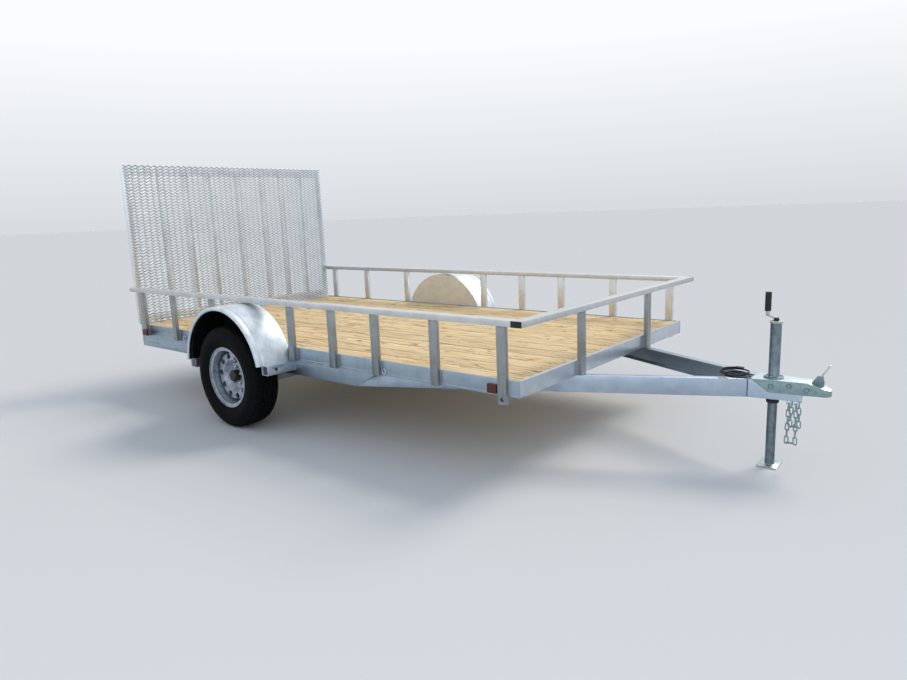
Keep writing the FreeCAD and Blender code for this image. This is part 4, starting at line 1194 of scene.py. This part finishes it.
def railBands():
    # Raised band along the lower edge of each side rail's face
    low = bandSizes["low"]
    high = bandSizes["high"]
    size = (deckFront - deckRear - 2 * bandSizes["inset"], 2 * bandSizes["proud"], high - low)
    bm = bmesh.new()
    for flip in sideSign.values():
        middle = ((deckFront + deckRear) / 2, flip * halfWidth, (high + low) / 2)
        bmesh.ops.create_cube(bm, size=1.0, matrix=Matrix.Translation(middle) @ Matrix.Diagonal((*size, 1)))
    easeEdges(bm, bandSizes["edge"], 2)
    newPiece("rail_bands", meshFrom("railBands", bm, frameX, angle=32), "trailer")


tipSeamShade()
railBands()
for side in sideSign:
    valveStem(side)
jackFittings()
print("small pieces done")


# Studio: pale floor even to the horizon, a soft sun from the far side above, a weak fill, a pale sky

floorSizes = {"half": 160, "colour": "#E2E4E6"}
# Name, kind, place, what it looks at, strength, colour, and size: degrees for the sun, metres for the other
lampRows = (
    ("key", "SUN", (1.2, 4.6, 5.2), (0, 0, 0.5), 1.55, "#FFF6EA", 25),
    ("fill", "AREA", (4.6, -5.2, 3.2), (0.2, 0, 0.5), 30, "#E6EEFF", 3.0),
)
# The sky as it is seen, from the horizon up to where it is whitest, and as it lights the trailer
skyLooks = {"horizon": "#D8DCE0", "white": "#FAFCFF", "whiteFrom": 0.22, "light": "#DDE6F2", "strength": 0.68}


# Matt pale ground that gives back no shine
def floor():
    material = surface("paleFloor", floorSizes["colour"], 0.0, 1.0, Specular_IOR_Level=0.0)[0]
    bm = bmesh.new()
    bmesh.ops.create_grid(bm, x_segments=1, y_segments=1, size=floorSizes["half"])
    thing = added("floor", meshFrom("floor", bm, material))


def lamp(name, kind, place, target, energy, colour, size):
    data = bpy.data.lights.new(name, kind)
    data.energy = energy
    data.color = linear(colour)[:3]
    if kind == "SUN":
        data.angle = radians(size)
    else:
        data.shape = "DISK"
        data.size = size
    thing = added(name, data)
    thing.location = place
    thing.rotation_euler = (Vector(target) - Vector(place)).to_track_quat("-Z", "Y").to_euler()


def sky():
    world = bpy.data.worlds.new("sky")
    scene.world = world
    world.use_nodes = True
    tree = world.node_tree
    tree.nodes.clear()
    place = addNode(tree, "ShaderNodeTexCoord")
    apart = addNode(tree, "ShaderNodeSeparateXYZ", {0: place.outputs["Generated"]})
    up = ranged(tree, apart.outputs["Z"], 0.0, skyLooks["whiteFrom"])
    shown = mixed(tree, up, skyLooks["horizon"], skyLooks["white"])
    seen = addNode(tree, "ShaderNodeBackground", {"Color": shown, "Strength": 1.0})
    plain = addNode(tree, "ShaderNodeBackground",
                    {"Color": linear(skyLooks["light"]), "Strength": skyLooks["strength"]})
    path = addNode(tree, "ShaderNodeLightPath").outputs
    direct = math(tree, "MAXIMUM", math(tree, "MAXIMUM", path["Is Camera Ray"], path["Is Glossy Ray"]),
                  path["Is Transmission Ray"])
    both = addNode(tree, "ShaderNodeMixShader", {0: direct, 1: plain.outputs[0], 2: seen.outputs[0]})
    addNode(tree, "ShaderNodeOutputWorld", {0: both.outputs[0]})


floor()
for row in lampRows:
    lamp(*row)
sky()
scene.view_settings.view_transform = "Standard"
print("stage done")
